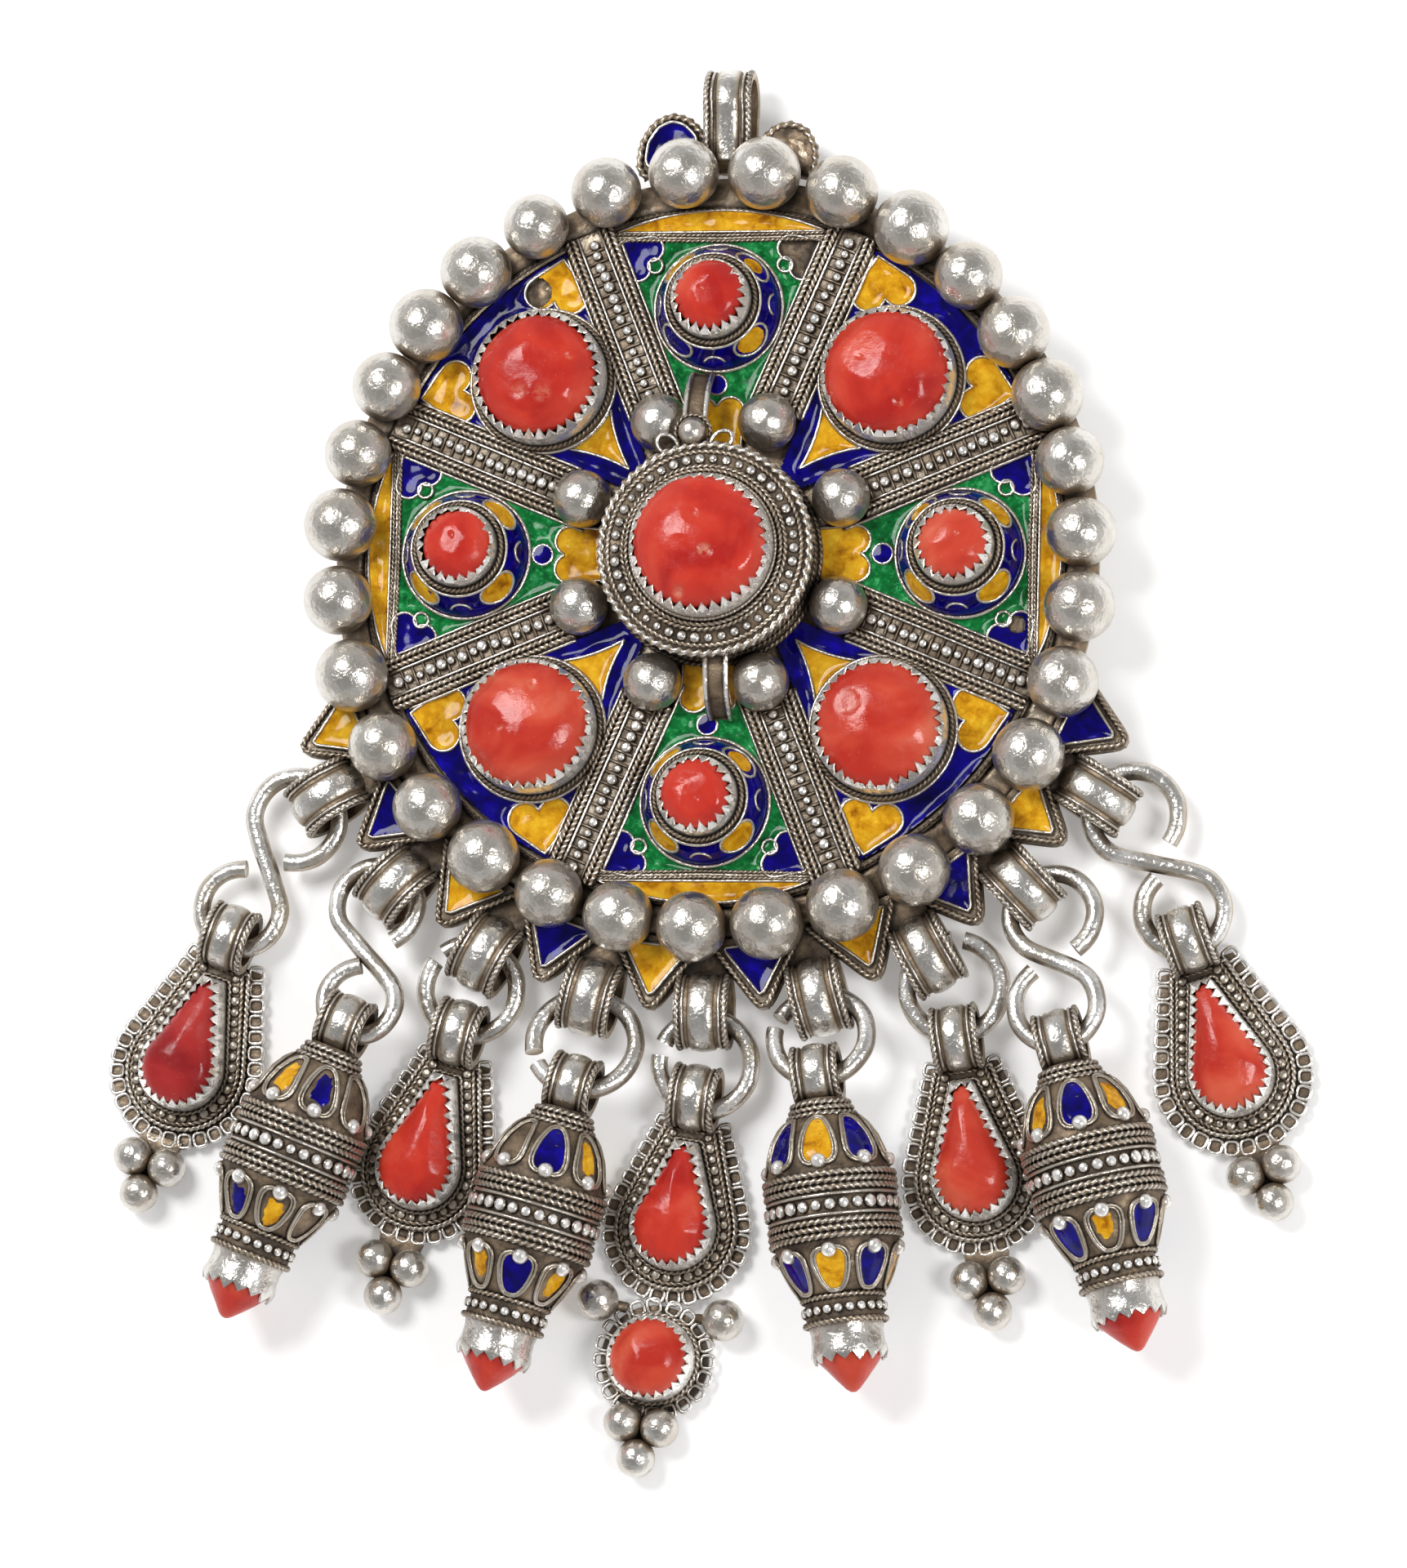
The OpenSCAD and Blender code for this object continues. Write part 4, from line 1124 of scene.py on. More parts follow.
def lace(shape, path, seed):
    """Row of small square rings of thin wire along a path."""
    rng = np.random.default_rng(seed)
    count = int(length_of(path) / 1.42)
    places = resample(path, count)
    ahead = unit(np.gradient(places, axis=0))
    side = np.stack([ahead[:, 1], -ahead[:, 0], 0 * ahead[:, 0]], -1)
    t = np.linspace(0, 2 * pi, 16, endpoint=False) + pi / 16
    square = np.stack([np.cos(t), np.sin(t)], -1)
    square = np.sign(square) * np.abs(square) ** 0.6 * (0.6, 0.66)
    for place, a, s in zip(places, ahead, side):
        loop = square * rng.uniform(0.93, 1.06, 2)
        path = place + loop[:, :1] * a + loop[:, 1:] * s
        shape.add(*wire(path, 0.18, 6, closed=True), 0.0)


def closed_rope(shape, path, r, z, bead=0.58, hand=1, dark=-0.08):
    shape.add_rope(raised(path, z), r, bead, closed=True, hand=hand, tarnish=dark)


def tear_setting(shape, low, wide, seed):
    """Teardrop: lace edge, twisted wires, a ribbon of granules and a toothed setting for the coral."""
    shape.add(*prism(tear_path(low, wide - 0.25), 0.15, 0.75), 0.55, soft=False)
    lace(shape, raised(tear_path(low, wide - 0.72), 0.85), seed)
    shape.add(*prism(tear_path(low, 5.6), 0.3, 1.25), 0.6, soft=False)
    closed_rope(shape, tear_path(low, 5.5), 0.3, 1.25)
    closed_rope(shape, tear_path(low, 5.03), 0.26, 1.5, hand=-1, dark=0.1)
    shape.add(*prism(tear_path(low, 4.85), 0.3, 1.6), 0.5, soft=False)
    ribbon = tear_path(low, 4.55)
    places = resample(raised(ribbon, 1.62), int(length_of(ribbon) / 0.98))
    sizes = np.random.default_rng(seed).uniform(0.8, 1.1, len(places))
    shape.add_granules(places, 0.46, 0.3, sizes=sizes, tarnish=0.24)
    closed_rope(shape, tear_path(low, 4.12), 0.24, 1.9)
    wall = tear_path(low, 3.78)
    points, faces = toothed(wall, 1.4, 4.2, 0.75, 0.7, 0.98, seed, flare=0.2)
    shape.add(points, faces, BRIGHT, soft=False)
    shape.add(*prism(tear_path(low, 3.6), 0.3, 2.6), 0.8, soft=False)


def foot_balls(shape, y, rng):
    """Three balls soldered together under a drop."""
    for x, dy in ((-1.72, 0), (1.72, 0), (0.05, -3.05)):
        at = (x, y + dy, 1.8)
        shape.add(*ball(at, 1.78, MIDDLE_BALL, rng, 0.01), BALL_TARNISH)
    for at in ((0, y + 0.1, 1.6), (-0.9, y - 1.5, 1.6), (0.9, y - 1.5, 1.6)):
        shape.add(*ball(at, 0.5, SMALL_BALL, rng, 0.02), 0.35)
    web = np.array([(-2.1, y + 2.6), (-1.6, y - 0.4), (0, y - 2.4), (1.6, y - 0.4), (2.1, y + 2.6)])
    shape.add(*prism(web, 0.3, 1.0), 0.5, soft=False)


def round_unit(shape, rng):
    """Round setting under the middle teardrop."""
    at = np.array([*UNIT_AT, 0])
    base = [
        (0.5, 0.15), (5.0, 0.15), (5.0, 0.75), (4.35, 0.8),
        (4.3, 1.5), (3.9, 1.8), (3.8, 2.6), (0.5, 2.6),
    ]
    points, faces = lathe(base, 64)
    shape.add(points + at, faces, 0.6, soft=False)
    lace(shape, circle(4.95, 0.9, 60, at=UNIT_AT, start=100, stop=438), 7)
    closed_rope(shape, circle(4.1, 0, 60, at=UNIT_AT)[:, :2], 0.28, 1.6)
    points, faces = toothed(circle(3.85, 0, 80), 1.5, 4.0, 0.75, 0.7, 0.98, 8, flare=0.15)
    shape.add(points + at, faces, BRIGHT, soft=False)
    for x in (-5.9, 5.9):
        shape.add(*ball((x, -20.4, 1.95), 1.93, MIDDLE_BALL, rng, 0.01), BALL_TARNISH)
        arm = np.array([(x, -20.4, 1.0), (x * 0.55, -20.6, 0.8)])
        shape.add(*wire(arm, 0.5, 8), 0.5)


def tear_drop(i):
    kind, _, _, wide = DROPS[i - 1]
    shape = Shape(hanging(i))
    rng = np.random.default_rng(50 + i)
    drop_bail(shape, TEAR_BAIL_Z, 0.9)
    tear_setting(shape, TEAR_LOW[kind], wide, 60 + i)
    if kind == "tear":
        foot_balls(shape, -22.8, rng)
    else:
        round_unit(shape, rng)
        foot_balls(shape, -31, rng)
    return shape


def barrel_place(i):
    """Places points drawn along a barrel's axis, +Z away from the bail, with its own turn."""
    _, _, _, turn = DROPS[i - 1]
    hang = hanging(i)

    def place(points):
        x, y, s = np.moveaxis(turned(points, -turn - 90), -1, 0)
        return hang(np.stack([x, -s, y + BARREL_Z], -1))

    return place


UPPER_SHOULDER = [(3.0, 4.5), (3.9, 5.3), (4.7, 6.5), (5.25, 7.9), (5.6, 9.6)]
LOWER_SHOULDER = [(5.6, 16.4), (5.4, 17.3), (4.95, 18.5), (4.35, 19.7), (3.8, 20.6)]
BELT_R = 5.75
PETAL_COUNT = 8
# Enamel of each petal on a barrel, from its own zero angle: yellow or blue, a small letter where
# only a patch of it is left and a dot where it is lost
PETALS = {
    2: ("YBY.byBY", "YBY.yb.B"),
    4: ("BYByB.BY", "BYByByB."),
    6: ("YBYBYBYB", "YBYBYBYB"),
    8: ("BYByByBY", "YBYByBYB"),
}
PATCH = 0.68


def on_shoulder(s, lift=0.0):
    """Radius of a barrel's shoulder at a place along its axis."""
    line = np.array(UPPER_SHOULDER + LOWER_SHOULDER)
    return np.interp(s, line[:, 1], line[:, 0]) + lift


def petal_loop(upper, half_angle=21, count=22):
    """Outline of a petal as (angle in degrees, place along the axis), round at its end near the belt."""
    t = np.linspace(0, 2 * pi, count, endpoint=False)
    s = -np.sign(np.cos(t)) * np.abs(np.cos(t)) ** 0.8
    wide = half_angle * np.sign(np.sin(t)) * np.abs(np.sin(t)) ** 0.62 * (0.86 + 0.14 * s)
    middle, reach = (7.0, 2.3) if upper else (18.7, -1.95)
    return np.stack([wide, middle + reach * s], -1)


def wrap(loop, k, lift):
    """Puts a flat (angle, place along the axis) outline on the barrel at petal k."""
    a = np.radians(loop[:, 0] + 360 / PETAL_COUNT * k)
    r = on_shoulder(loop[:, 1], lift)
    return np.stack([r * np.cos(a), r * np.sin(a), loop[:, 1]], -1)


def barrel_belt(shape):
    """Three twisted wires, a row of large granules and three more twisted wires."""
    for n, s in enumerate((10.2, 10.85, 11.5, 14.5, 15.15, 15.8)):
        r = BELT_R + 0.08
        shape.add_rope(circle(r, s, 120), 0.35, 0.68, closed=True, hand=1 if n % 2 else -1, tarnish=0.0)
    for s in (12.1, 13.9):
        shape.add(*wire(circle(BELT_R + 0.12, s, 72), 0.18, 6, closed=True), 0.2)
    spots = circle(BELT_R - 0.02, 13.0, 29)
    sizes = np.random.default_rng(43).uniform(0.85, 1.1, len(spots))
    shape.add_granules(spots, 0.6, 0.5, normals=spots * (1, 1, 0), ahead=(0, 0, 1), sizes=sizes, tarnish=0.0)


def barrel_body(shape):
    profile = [(0.5, 2.9), (2.3, 2.9), (2.6, 3.8)] + UPPER_SHOULDER
    profile += [(BELT_R - 0.1, 9.8), (BELT_R, 13), (BELT_R - 0.1, 16.2)] + LOWER_SHOULDER
    profile += [(3.55, 20.8), (3.55, 23.3), (3.05, 23.5), (3.1, 24.8), (2.9, 25.0), (0.5, 25.0)]
    shape.add(*lathe(profile, 72), 0.68, soft=False)


def barrel_collars(shape):
    for r, s, hand in ((2.55, 3.35, 1), (2.75, 3.9, -1), (3.0, 4.45, 1)):
        shape.add_rope(circle(r, s, 60), 0.32, 0.62, closed=True, hand=hand, tarnish=-0.05)
    for s, hand in ((21.0, 1), (23.25, -1)):
        shape.add_rope(circle(3.65, s, 80), 0.31, 0.58, closed=True, hand=hand, tarnish=0.08)
    spots = circle(3.5, 22.12, 22)
    shape.add_granules(spots, 0.46, 0.45, normals=spots * (1, 1, 0), ahead=(0, 0, 1), tarnish=0.0)


def barrel_petals(shape, rng):
    """Double wire round each petal and a granule at its round end."""
    for k in range(PETAL_COUNT):
        for upper in (True, False):
            for size, r in ((1.0, 0.18), (0.84, 0.13)):
                loop = petal_loop(upper)
                middle = loop.mean(0)
                loop = middle + (loop - middle) * (size, 0.5 + size / 2)
                shape.add(*wire(wrap(loop, k, 0.12), r, 6, closed=True), 0.27)
            s = 9.0 if upper else 17.0
            a = radians(360 / PETAL_COUNT * k)
            at = (5.45 * cos(a), 5.45 * sin(a), s)
            shape.add(*ball(at, 0.75, SMALL_BALL, rng, 0.01), 0.0)


def stone_cap(shape, seed):
    """Plain bright cap with pointed teeth over the cone of coral."""
    teeth = 15
    rng = np.random.default_rng(seed)
    a = 2 * pi * np.arange(teeth * 6) / (teeth * 6)
    point = np.tile([0, 0.33, 0.67, 1, 0.67, 0.33], teeth) * np.repeat(rng.uniform(0.8, 1.2, teeth), 6)

    def row(r, s):
        return np.stack([r * np.cos(a), r * np.sin(a), s + 0 * a], -1)

    layers = [row(r, s) for r, s in ((3.45, 23.3), (3.3, 24.2), (3.35, 25.2), (3.55, 26.0))]
    layers.append(row(3.55 - 0.3 * point, 26.1 + 0.75 * point))
    layers.append(layers[-1] * (0.93, 0.93, 1))
    layers += [row(r, s) for r, s in ((3.18, 25.4), (2.8, 23.1))]
    shape.add(np.vstack(layers), [grid_faces(len(layers), len(a), True)], 0.12, soft=False)


def barrel_drop(i):
    shape = Shape(hanging(i))
    drop_bail(shape, BARREL_Z, 0.5)
    part = Shape(lambda points: points)
    rng = np.random.default_rng(70 + i)
    barrel_body(part)
    barrel_belt(part)
    barrel_collars(part)
    barrel_petals(part, rng)
    stone_cap(part, 80 + i)
    shape.place = barrel_place(i)
    merge(shape, part)
    return shape


def petal_enamel(upper, worn, rng):
    """A petal of enamel, filled in from its outline. Where it is worn, only an uneven patch is left."""
    loop = petal_loop(upper, count=20)
    middle = loop.mean(0)
    lifts = (0.14, 0.07, 0.03, 0.02, 0.02, 0.02)
    if worn:
        loop = middle + (loop - middle) * PATCH * rng.uniform(0.8, 1.1, (len(loop), 1))
        loop = loop + rng.uniform(-1, 1, 2) * (2.5, 0.4)
        middle = loop.mean(0)
        lifts = (0.0, 0.05, 0.07, 0.06, 0.05, 0.05)
    rings = [middle + (loop - middle) * (size * 0.86, size) for size in (0.96, 0.86, 0.66, 0.42, 0.2, 0)]
    return rings, lifts


def barrel_enamel(colour):
    """All the barrel petals of one colour."""
    shape = Shape()
    rng = np.random.default_rng(90)
    for i, sides in PETALS.items():
        shape.place = barrel_place(i)
        for upper, letters in zip((True, False), sides):
            for k, letter in enumerate(letters):
                if letter.upper() != colour:
                    continue
                rings, lifts = petal_enamel(upper, letter.islower(), rng)
                rows = [wrap(loop, k, lift) for loop, lift in zip(rings, lifts)]
                rows[-1] = rows[-1][:1]
                points = np.vstack(rows)
                n, count = len(points), len(rings[0])
                faces = [grid_faces(len(rows) - 1, count), fan(n - 1, n - 1 - count, count)]
                shape.add(points, outward_first(points, faces), 0.0, sheet=True)
    return shape


def outward_first(points, faces):
    """Turns the faces of a patch on a barrel so that they look away from its axis."""
    a, b, c = (points[faces[0][:, n]] for n in (0, 1, 2))
    normal = np.cross(b - a, c - a).sum(0)
    out = points.mean(0) * (1, 1, 0)
    return faces if normal @ out > 0 else [f[:, ::-1] for f in faces]


# Enamel on the plate

# Hearts whose enamel is lost, and the bites out of others as (x, y, radius), by kind, quarter and side
LOST = {("panel", 0, 1)}
BITES = {("sector", 0, 1): (5.3, 29.7, 1.45), ("panel", 3, 1): (6.6, 28.4, 0.85)}


def bites(kind, q, side):
    """Outlines of the chips in a heart."""
    if (kind, q, side) not in BITES:
        return []
    x, y, r = BITES[kind, q, side]
    return [circle(r, 0, 14, at=(x, y))[:, :2]]


def enamel(colour):
    """All the plate's enamel of one colour."""
    shape = Shape()

    def fill(outline, turn, holes=(), top=ENAMEL_TOP, step=0.22, sag=0.2):
        points, faces = pool(outline, holes, top, sag, seed=shape.count % 97, step=step)
        shape.add(turned(points, turn), faces, 0.0, sheet=True)

    collar = circle(6.8, 0, 60, at=(0, STONE_RING_R))
    dome = circle(5.9, 0, 60, at=(0, STONE_RING_R))
    boss_edge = circle(BOSS_R - 0.1, 0, 90)
    balls = [circle(1.8, 0, 24, at=turned((0, INNER_RING_R), side * HALF_STEP)) for side in (-1, 1)]
    for q in range(4):
        panel, sector = 90 * q, 45 + 90 * q
        if colour == "green":
            holes = [dome, inner_heart(), dot_outline(0.95), *panel_hearts()]
            fill(panel_outline(11.6, CHORD_Y, 0.1), panel, holes)
        if colour == "blue":
            holes = [collar, boss_edge, sector_triangle(), *sector_hearts(), *balls]
            fill(sector_outline(10, 31.9, 0.1), sector, holes)
            fill(dot_outline(0.92), panel, top=ENAMEL_TOP + 0.12, step=0.15, sag=-0.08)
            for side, loop in zip((-1, 1), panel_hearts()):
                if ("panel", q, side) not in LOST:
                    fill(loop, panel, bites("panel", q, side))
        if colour == "yellow":
            fill(inner_heart(), panel, [boss_edge])
            fill(outer_segment(), panel)
            fill(sector_triangle(), sector)
            for side, loop in zip((-1, 1), sector_hearts()):
                fill(loop, sector, bites("sector", q, side))
    if colour in ("blue", "yellow"):
        for k in range(0 if colour == "yellow" else 1, 10, 2):
            fill(POINT_CELL, point_angle(k), top=CELL_FLOOR + 0.12, sag=0.15)
    if colour == "blue":
        fill(petal_cell(LEFT_PETAL, 0.78), 0, top=CELL_FLOOR + 0.1, sag=0.12)
        for k in range(4):
            dome_enamel(shape, 90 * k)
    if colour == "yellow":
        for q in range(4):
            for k in range(4):
                oval_enamel(shape, 90 * q, 45 + 90 * k, (q, k))
    return shape


def dome_enamel(shape, angle):
    """Blue enamel round a small dome's shoulder."""
    at = turned((0, STONE_RING_R, 0), angle)
    radii = np.linspace(5.82, 4.5, 16)
    count = 96
    a = 2 * pi * np.arange(count) / count
    rows = [np.stack([r * np.cos(a), r * np.sin(a), np.full(count, dome_z(r) - 0.02)], -1) for r in radii]
    points = np.vstack(rows)
    points[:, 2] += wobble(points, 1.6, 0.03, int(angle) + 9)
    shape.add(points + at, [grid_faces(len(rows), count)], 0.0, sheet=True)


# Share of each oval on a small dome that still has its enamel, by dome and then by oval
OVAL_FILL = {
    (0, 0): 0.55, (0, 1): 1, (0, 2): 0, (0, 3): 0.8,
    (1, 0): 1, (1, 1): 1, (1, 2): 1, (1, 3): 1,
    (2, 0): 0.7, (2, 1): 1, (2, 2): 1, (2, 3): 1,
    (3, 0): 0.9, (3, 1): 0.6, (3, 2): 1, (3, 3): 1,
}


def oval_enamel(shape, dome_angle, oval_angle, key):
    """Amber enamel in one oval, or the part of it that is left."""
    share = OVAL_FILL[key]
    if share == 0:
        return
    at = turned((0, STONE_RING_R, 0), dome_angle)
    flat, faces, gap = cell(ellipse(OVAL_HALF[0] * share, OVAL_HALF[1] * sqrt(share), 24), (), 0.16)
    lift = 0.1 - 0.06 * (1 - np.exp(-(gap / 0.2) ** 2))
    points = turned(on_dome(np.column_stack([flat, lift])), oval_angle) + at
    shape.add(points, faces, 0.0, sheet=True)


# Corals

def stone(shape, outline, centre, seat, girdle, dome, seed, pits=(), lump=0.09, rings=26, around=96):
    """Coral cut as a dome on an outline, with soft lumps, worn flats and pits."""
    rng = np.random.default_rng(seed)
    outline = resample(np.asarray(outline, float)[:, :2], around, True)
    centre = np.asarray(centre, float)
    t = np.radians(np.linspace(0, 88, rings))
    rows = [np.column_stack([outline * 0.985 + centre * 0.015, np.full(around, seat)])]
    for a in t:
        rows.append(raised(centre + (outline - centre) * cos(a) ** 0.92, girdle + dome * sin(a)))
    points = np.vstack(rows)
    share = np.clip((points[:, 2] - girdle) / dome, 0, 1)
    size = np.sqrt(((outline - centre) ** 2).sum(1)).mean()
    points[:, 2] += wobble(points, size * 1.1, lump, seed) * share
    for _ in range(9):
        way = unit(np.array([rng.normal() * 0.5, rng.normal() * 0.5, 1]))
        level = (points @ way).max() - rng.uniform(0.02, 0.05) * size
        over = np.maximum(points @ way - level, 0)
        points -= 0.75 * over[:, None] * way
    mark = np.zeros(len(points))
    for x, y, r, depth in pits:
        d = np.hypot(points[:, 0] - centre[0] - x, points[:, 1] - centre[1] - y) / r
        points[:, 2] -= depth * np.exp(-d ** 6) * share
        mark = np.maximum(mark, np.exp(-d ** 6) * min(0.7, depth * 2.5))
    top = points[-around:].mean(0)
    points = np.vstack([points, [top, [*centre, seat]]])
    mark = np.concatenate([mark, [mark[-around:].mean(), 0]])
    n = len(points)
    caps = [fan(n - 2, n - 2 - around, around), fan(n - 1, 0, around, under=True)]
    shape.add(points, [grid_faces(len(rows), around)] + caps, mark)


def uneven_circle(r, seed, depth=0.02):
    rng = np.random.default_rng(seed)
    a = np.linspace(0, 2 * pi, 120, endpoint=False)
    reach = r * (1 + sum(depth / n * np.sin(n * a + rng.uniform(0, 6)) for n in (2, 3, 4, 5)))
    return np.stack([reach * np.cos(a), reach * np.sin(a)], -1)


# One row for each round stone on the plate: node, distance and angle of its place, radius, seat, straight
# side's top, height of the dome, material, and its pits as (x, y, radius, depth) from its middle
PLATE_STONES = [
    ("coral_centre", 0.35, -50, 6.15, 12.0, 12.9, 2.9, "coral_red",
     [(0.9, -1.2, 0.62, 0.28), (-0.1, 2.2, 0.22, 0.2), (-1.6, -4.9, 0.5, 0.5)]),
    ("coral_large_1", STONE_RING_R, 45, 5.75, 7.4, 8.2, 2.8, "coral_red",
     [(1.5, -3.2, 0.4, 0.25), (-2.2, 1.0, 0.25, 0.1)]),
    ("coral_large_2", STONE_RING_R, -45, 5.75, 7.4, 8.1, 2.4, "coral_pale", [(-2.6, 1.8, 1.2, 0.16)]),
    ("coral_large_3", STONE_RING_R, 225, 5.75, 7.4, 8.2, 2.7, "coral_pale",
     [(0.8, 3.4, 0.5, 0.2), (-1.8, -0.6, 0.3, 0.12)]),
    ("coral_large_4", STONE_RING_R, 135, 5.55, 7.4, 8.2, 2.8, "coral_red",
     [(3.3, 1.3, 0.38, 0.2), (-1.2, -1.9, 0.8, 0.13), (1.0, -2.2, 0.85, 0.13)]),
    ("coral_small_1", 23.3, 90, 3.2, 9.7, 10.4, 1.7, "coral_red", [(-0.6, 0.4, 0.2, 0.1)]),
    ("coral_small_2", 23.1, 0, 3.2, 9.7, 10.4, 1.6, "coral_pale", [(0.5, 0.6, 0.22, 0.12)]),
    ("coral_small_3", 23.1, -90, 3.2, 9.7, 10.4, 1.7, "coral_red", [(0.4, -0.6, 0.2, 0.1)]),
    ("coral_small_4", 22.9, 180, 3.2, 9.7, 10.4, 1.7, "coral_red", [(-0.2, 0.7, 0.25, 0.1)]),
]


def plate_stone(row):
    name, reach, angle, r, seat, girdle, dome, _, pits = row
    seed = sum(map(ord, name))
    shape = Shape()
    a = radians(angle)
    at = np.array([reach * cos(a), reach * sin(a)])
    rings, around = (38, 130) if name == "coral_centre" else (28, 96)
    outline = uneven_circle(r, seed) + at
    stone(shape, outline, at, seat, girdle, dome, seed, pits, rings=rings, around=around)
    return shape


def tear_stone(i):
    low = TEAR_LOW[DROPS[i - 1][0]]
    shape = Shape(hanging(i))
    outline = tear_outline(3.5, low, 5.35, 0.55)
    stone(shape, outline, (0, -low + 0.9), 2.75, 3.9, 2.1, 90 + i, lump=0.07, rings=26, around=100)
    return shape


def cone_stone(i):
    """Blunt cone of coral that stands out of a barrel's cap."""
    shape = Shape(barrel_place(i))
    profile = [
        (0.4, 25.05), (3.0, 25.05), (3.25, 25.9), (3.0, 26.5), (2.25, 27.45),
        (1.4, 28.45), (0.65, 29.25), (0.3, 29.5), (0.1, 29.55),
    ]
    points, faces = lathe(profile, 48)
    points[:, 0] += wobble(points, 3, 0.05, i)
    points[:, 1] += wobble(points, 3, 0.05, i + 20)
    shape.add(points, faces, 0.0)
    return shape


def round_stone():
    shape = Shape(hanging(5))
    stone(shape, uneven_circle(3.55, 4) + UNIT_AT, UNIT_AT, 2.75, 3.9, 2.1, 77, rings=26, around=100)
    return shape


# Materials

def new_material(name):
    """Material with an empty Principled surface, its nodes and its links."""
    material = bpy.data.materials.new(name)
    material.use_nodes = True
    nodes, links = material.node_tree.nodes, material.node_tree.links
    nodes.clear()
    out = nodes.new("ShaderNodeOutputMaterial")
    surface = nodes.new("ShaderNodeBsdfPrincipled")
    links.new(surface.outputs["BSDF"], out.inputs["Surface"])
    return material, nodes, links, surface


def noise(nodes, links, place, scale, detail=3, roughness=0.55, distortion=0.0):
    """Noise whose scale counts its cells in a millimetre."""
    node = nodes.new("ShaderNodeTexNoise")
    node.inputs["Scale"].default_value = scale / MM
    node.inputs["Detail"].default_value = detail
    node.inputs["Roughness"].default_value = roughness
    node.inputs["Distortion"].default_value = distortion
    links.new(place, node.inputs["Vector"])
    return node.outputs["Fac"]


def spread(nodes, links, value, low, high, start=0.0, stop=1.0):
    """Maps the part of a value between low and high to the range from start to stop."""
    node = nodes.new("ShaderNodeMapRange")
    for key, number in (("From Min", low), ("From Max", high), ("To Min", start), ("To Max", stop)):
        node.inputs[key].default_value = number
    links.new(value, node.inputs["Value"])
    return node.outputs["Result"]


def combine(nodes, links, kind, a, b, clamp=True):
    """Sum, product or other result of two values, kept between 0 and 1 unless clamp is off."""
    node = nodes.new("ShaderNodeMath")
    node.operation = kind
    node.use_clamp = clamp
    for socket, value in zip(node.inputs, (a, b)):
        if isinstance(value, (int, float)):
            socket.default_value = value
        else:
            links.new(value, socket)
    return node.outputs["Value"]


def ramp(nodes, links, value, stops):
    """Colour ramp from (position, colour) pairs."""
    node = nodes.new("ShaderNodeValToRGB")
    elements = node.color_ramp.elements
    while len(elements) < len(stops):
        elements.new(0.5)
    for element, (position, colour) in zip(elements, stops):
        element.position = position
        element.color = (*colour, 1)
    links.new(value, node.inputs["Fac"])
    return node.outputs["Color"]


def bump(nodes, links, surface, heights):
    """Bumps from (height, strength, distance in millimetres) rows, one on top of the other."""
    normal = None
    for height, strength, distance in heights:
        node = nodes.new("ShaderNodeBump")
        node.inputs["Strength"].default_value = strength
        node.inputs["Distance"].default_value = distance * MM
        links.new(height, node.inputs["Height"])
        if normal is not None:
            links.new(normal, node.inputs["Normal"])
        normal = node.outputs["Normal"]
    links.new(normal, surface.inputs["Normal"])


def object_place(nodes):
    return nodes.new("ShaderNodeTexCoord").outputs["Object"]


def silver_material():
    """Worn satin silver, brown and then black in its recesses: partly patina, partly painted shade from an
    occlusion test.
    """
    material, nodes, links, surface = new_material("silver")
    place = object_place(nodes)
    # Painted shade: the colour darkens where other metal lies within 1.2 mm.
    crevice = nodes.new("ShaderNodeAmbientOcclusion")
    crevice.samples = 2
    crevice.inputs["Distance"].default_value = 1.2 * MM
    deep = spread(nodes, links, crevice.outputs["AO"], 0.78, 0.2)
    attribute = nodes.new("ShaderNodeAttribute")
    attribute.attribute_name = "tarnish"
    patches = noise(nodes, links, place, 0.35, 5, 0.65)
    uneven = spread(nodes, links, patches, 0.3, 0.7, 0.55, 1.25)
    dark = combine(nodes, links, "MULTIPLY", attribute.outputs["Fac"], uneven, clamp=False)
    dark = combine(nodes, links, "ADD", dark, combine(nodes, links, "MULTIPLY", deep, 0.85))
    specks = spread(nodes, links, noise(nodes, links, place, 2.6, 3, 0.6), 0.68, 0.76, 0.0, 0.3)
    dark = combine(nodes, links, "ADD", dark, specks)
    colour = ramp(nodes, links, dark, [
        (0.0, (0.93, 0.91, 0.88)),
        (0.1, (0.72, 0.70, 0.665)),
        (0.25, (0.53, 0.47, 0.385)),
        (0.48, (0.31, 0.225, 0.145)),
        (0.72, (0.095, 0.066, 0.044)),
        (1.0, (0.018, 0.014, 0.011)),
    ])
    links.new(colour, surface.inputs["Base Color"])
    links.new(ramp(nodes, links, dark, [
        (0.0, (0.72, 0.72, 0.72)), (0.1, (1, 1, 1)), (0.3, (0.9, 0.9, 0.9)), (0.6, (0.55, 0.55, 0.55)),
    ]), surface.inputs["Metallic"])
    links.new(spread(nodes, links, dark, 0.0, 0.7, 0.22, 0.58), surface.inputs["Roughness"])
    hammered = noise(nodes, links, place, 0.85, 3, 0.55)
    dents = spread(nodes, links, noise(nodes, links, place, 1.7, 2, 0.5), 0.35, 0.6)
    grain = noise(nodes, links, place, 4.2, 3, 0.6)
    bump(nodes, links, surface, [(hammered, 0.5, 0.16), (dents, 0.35, 0.06), (grain, 0.4, 0.035)])
    return material


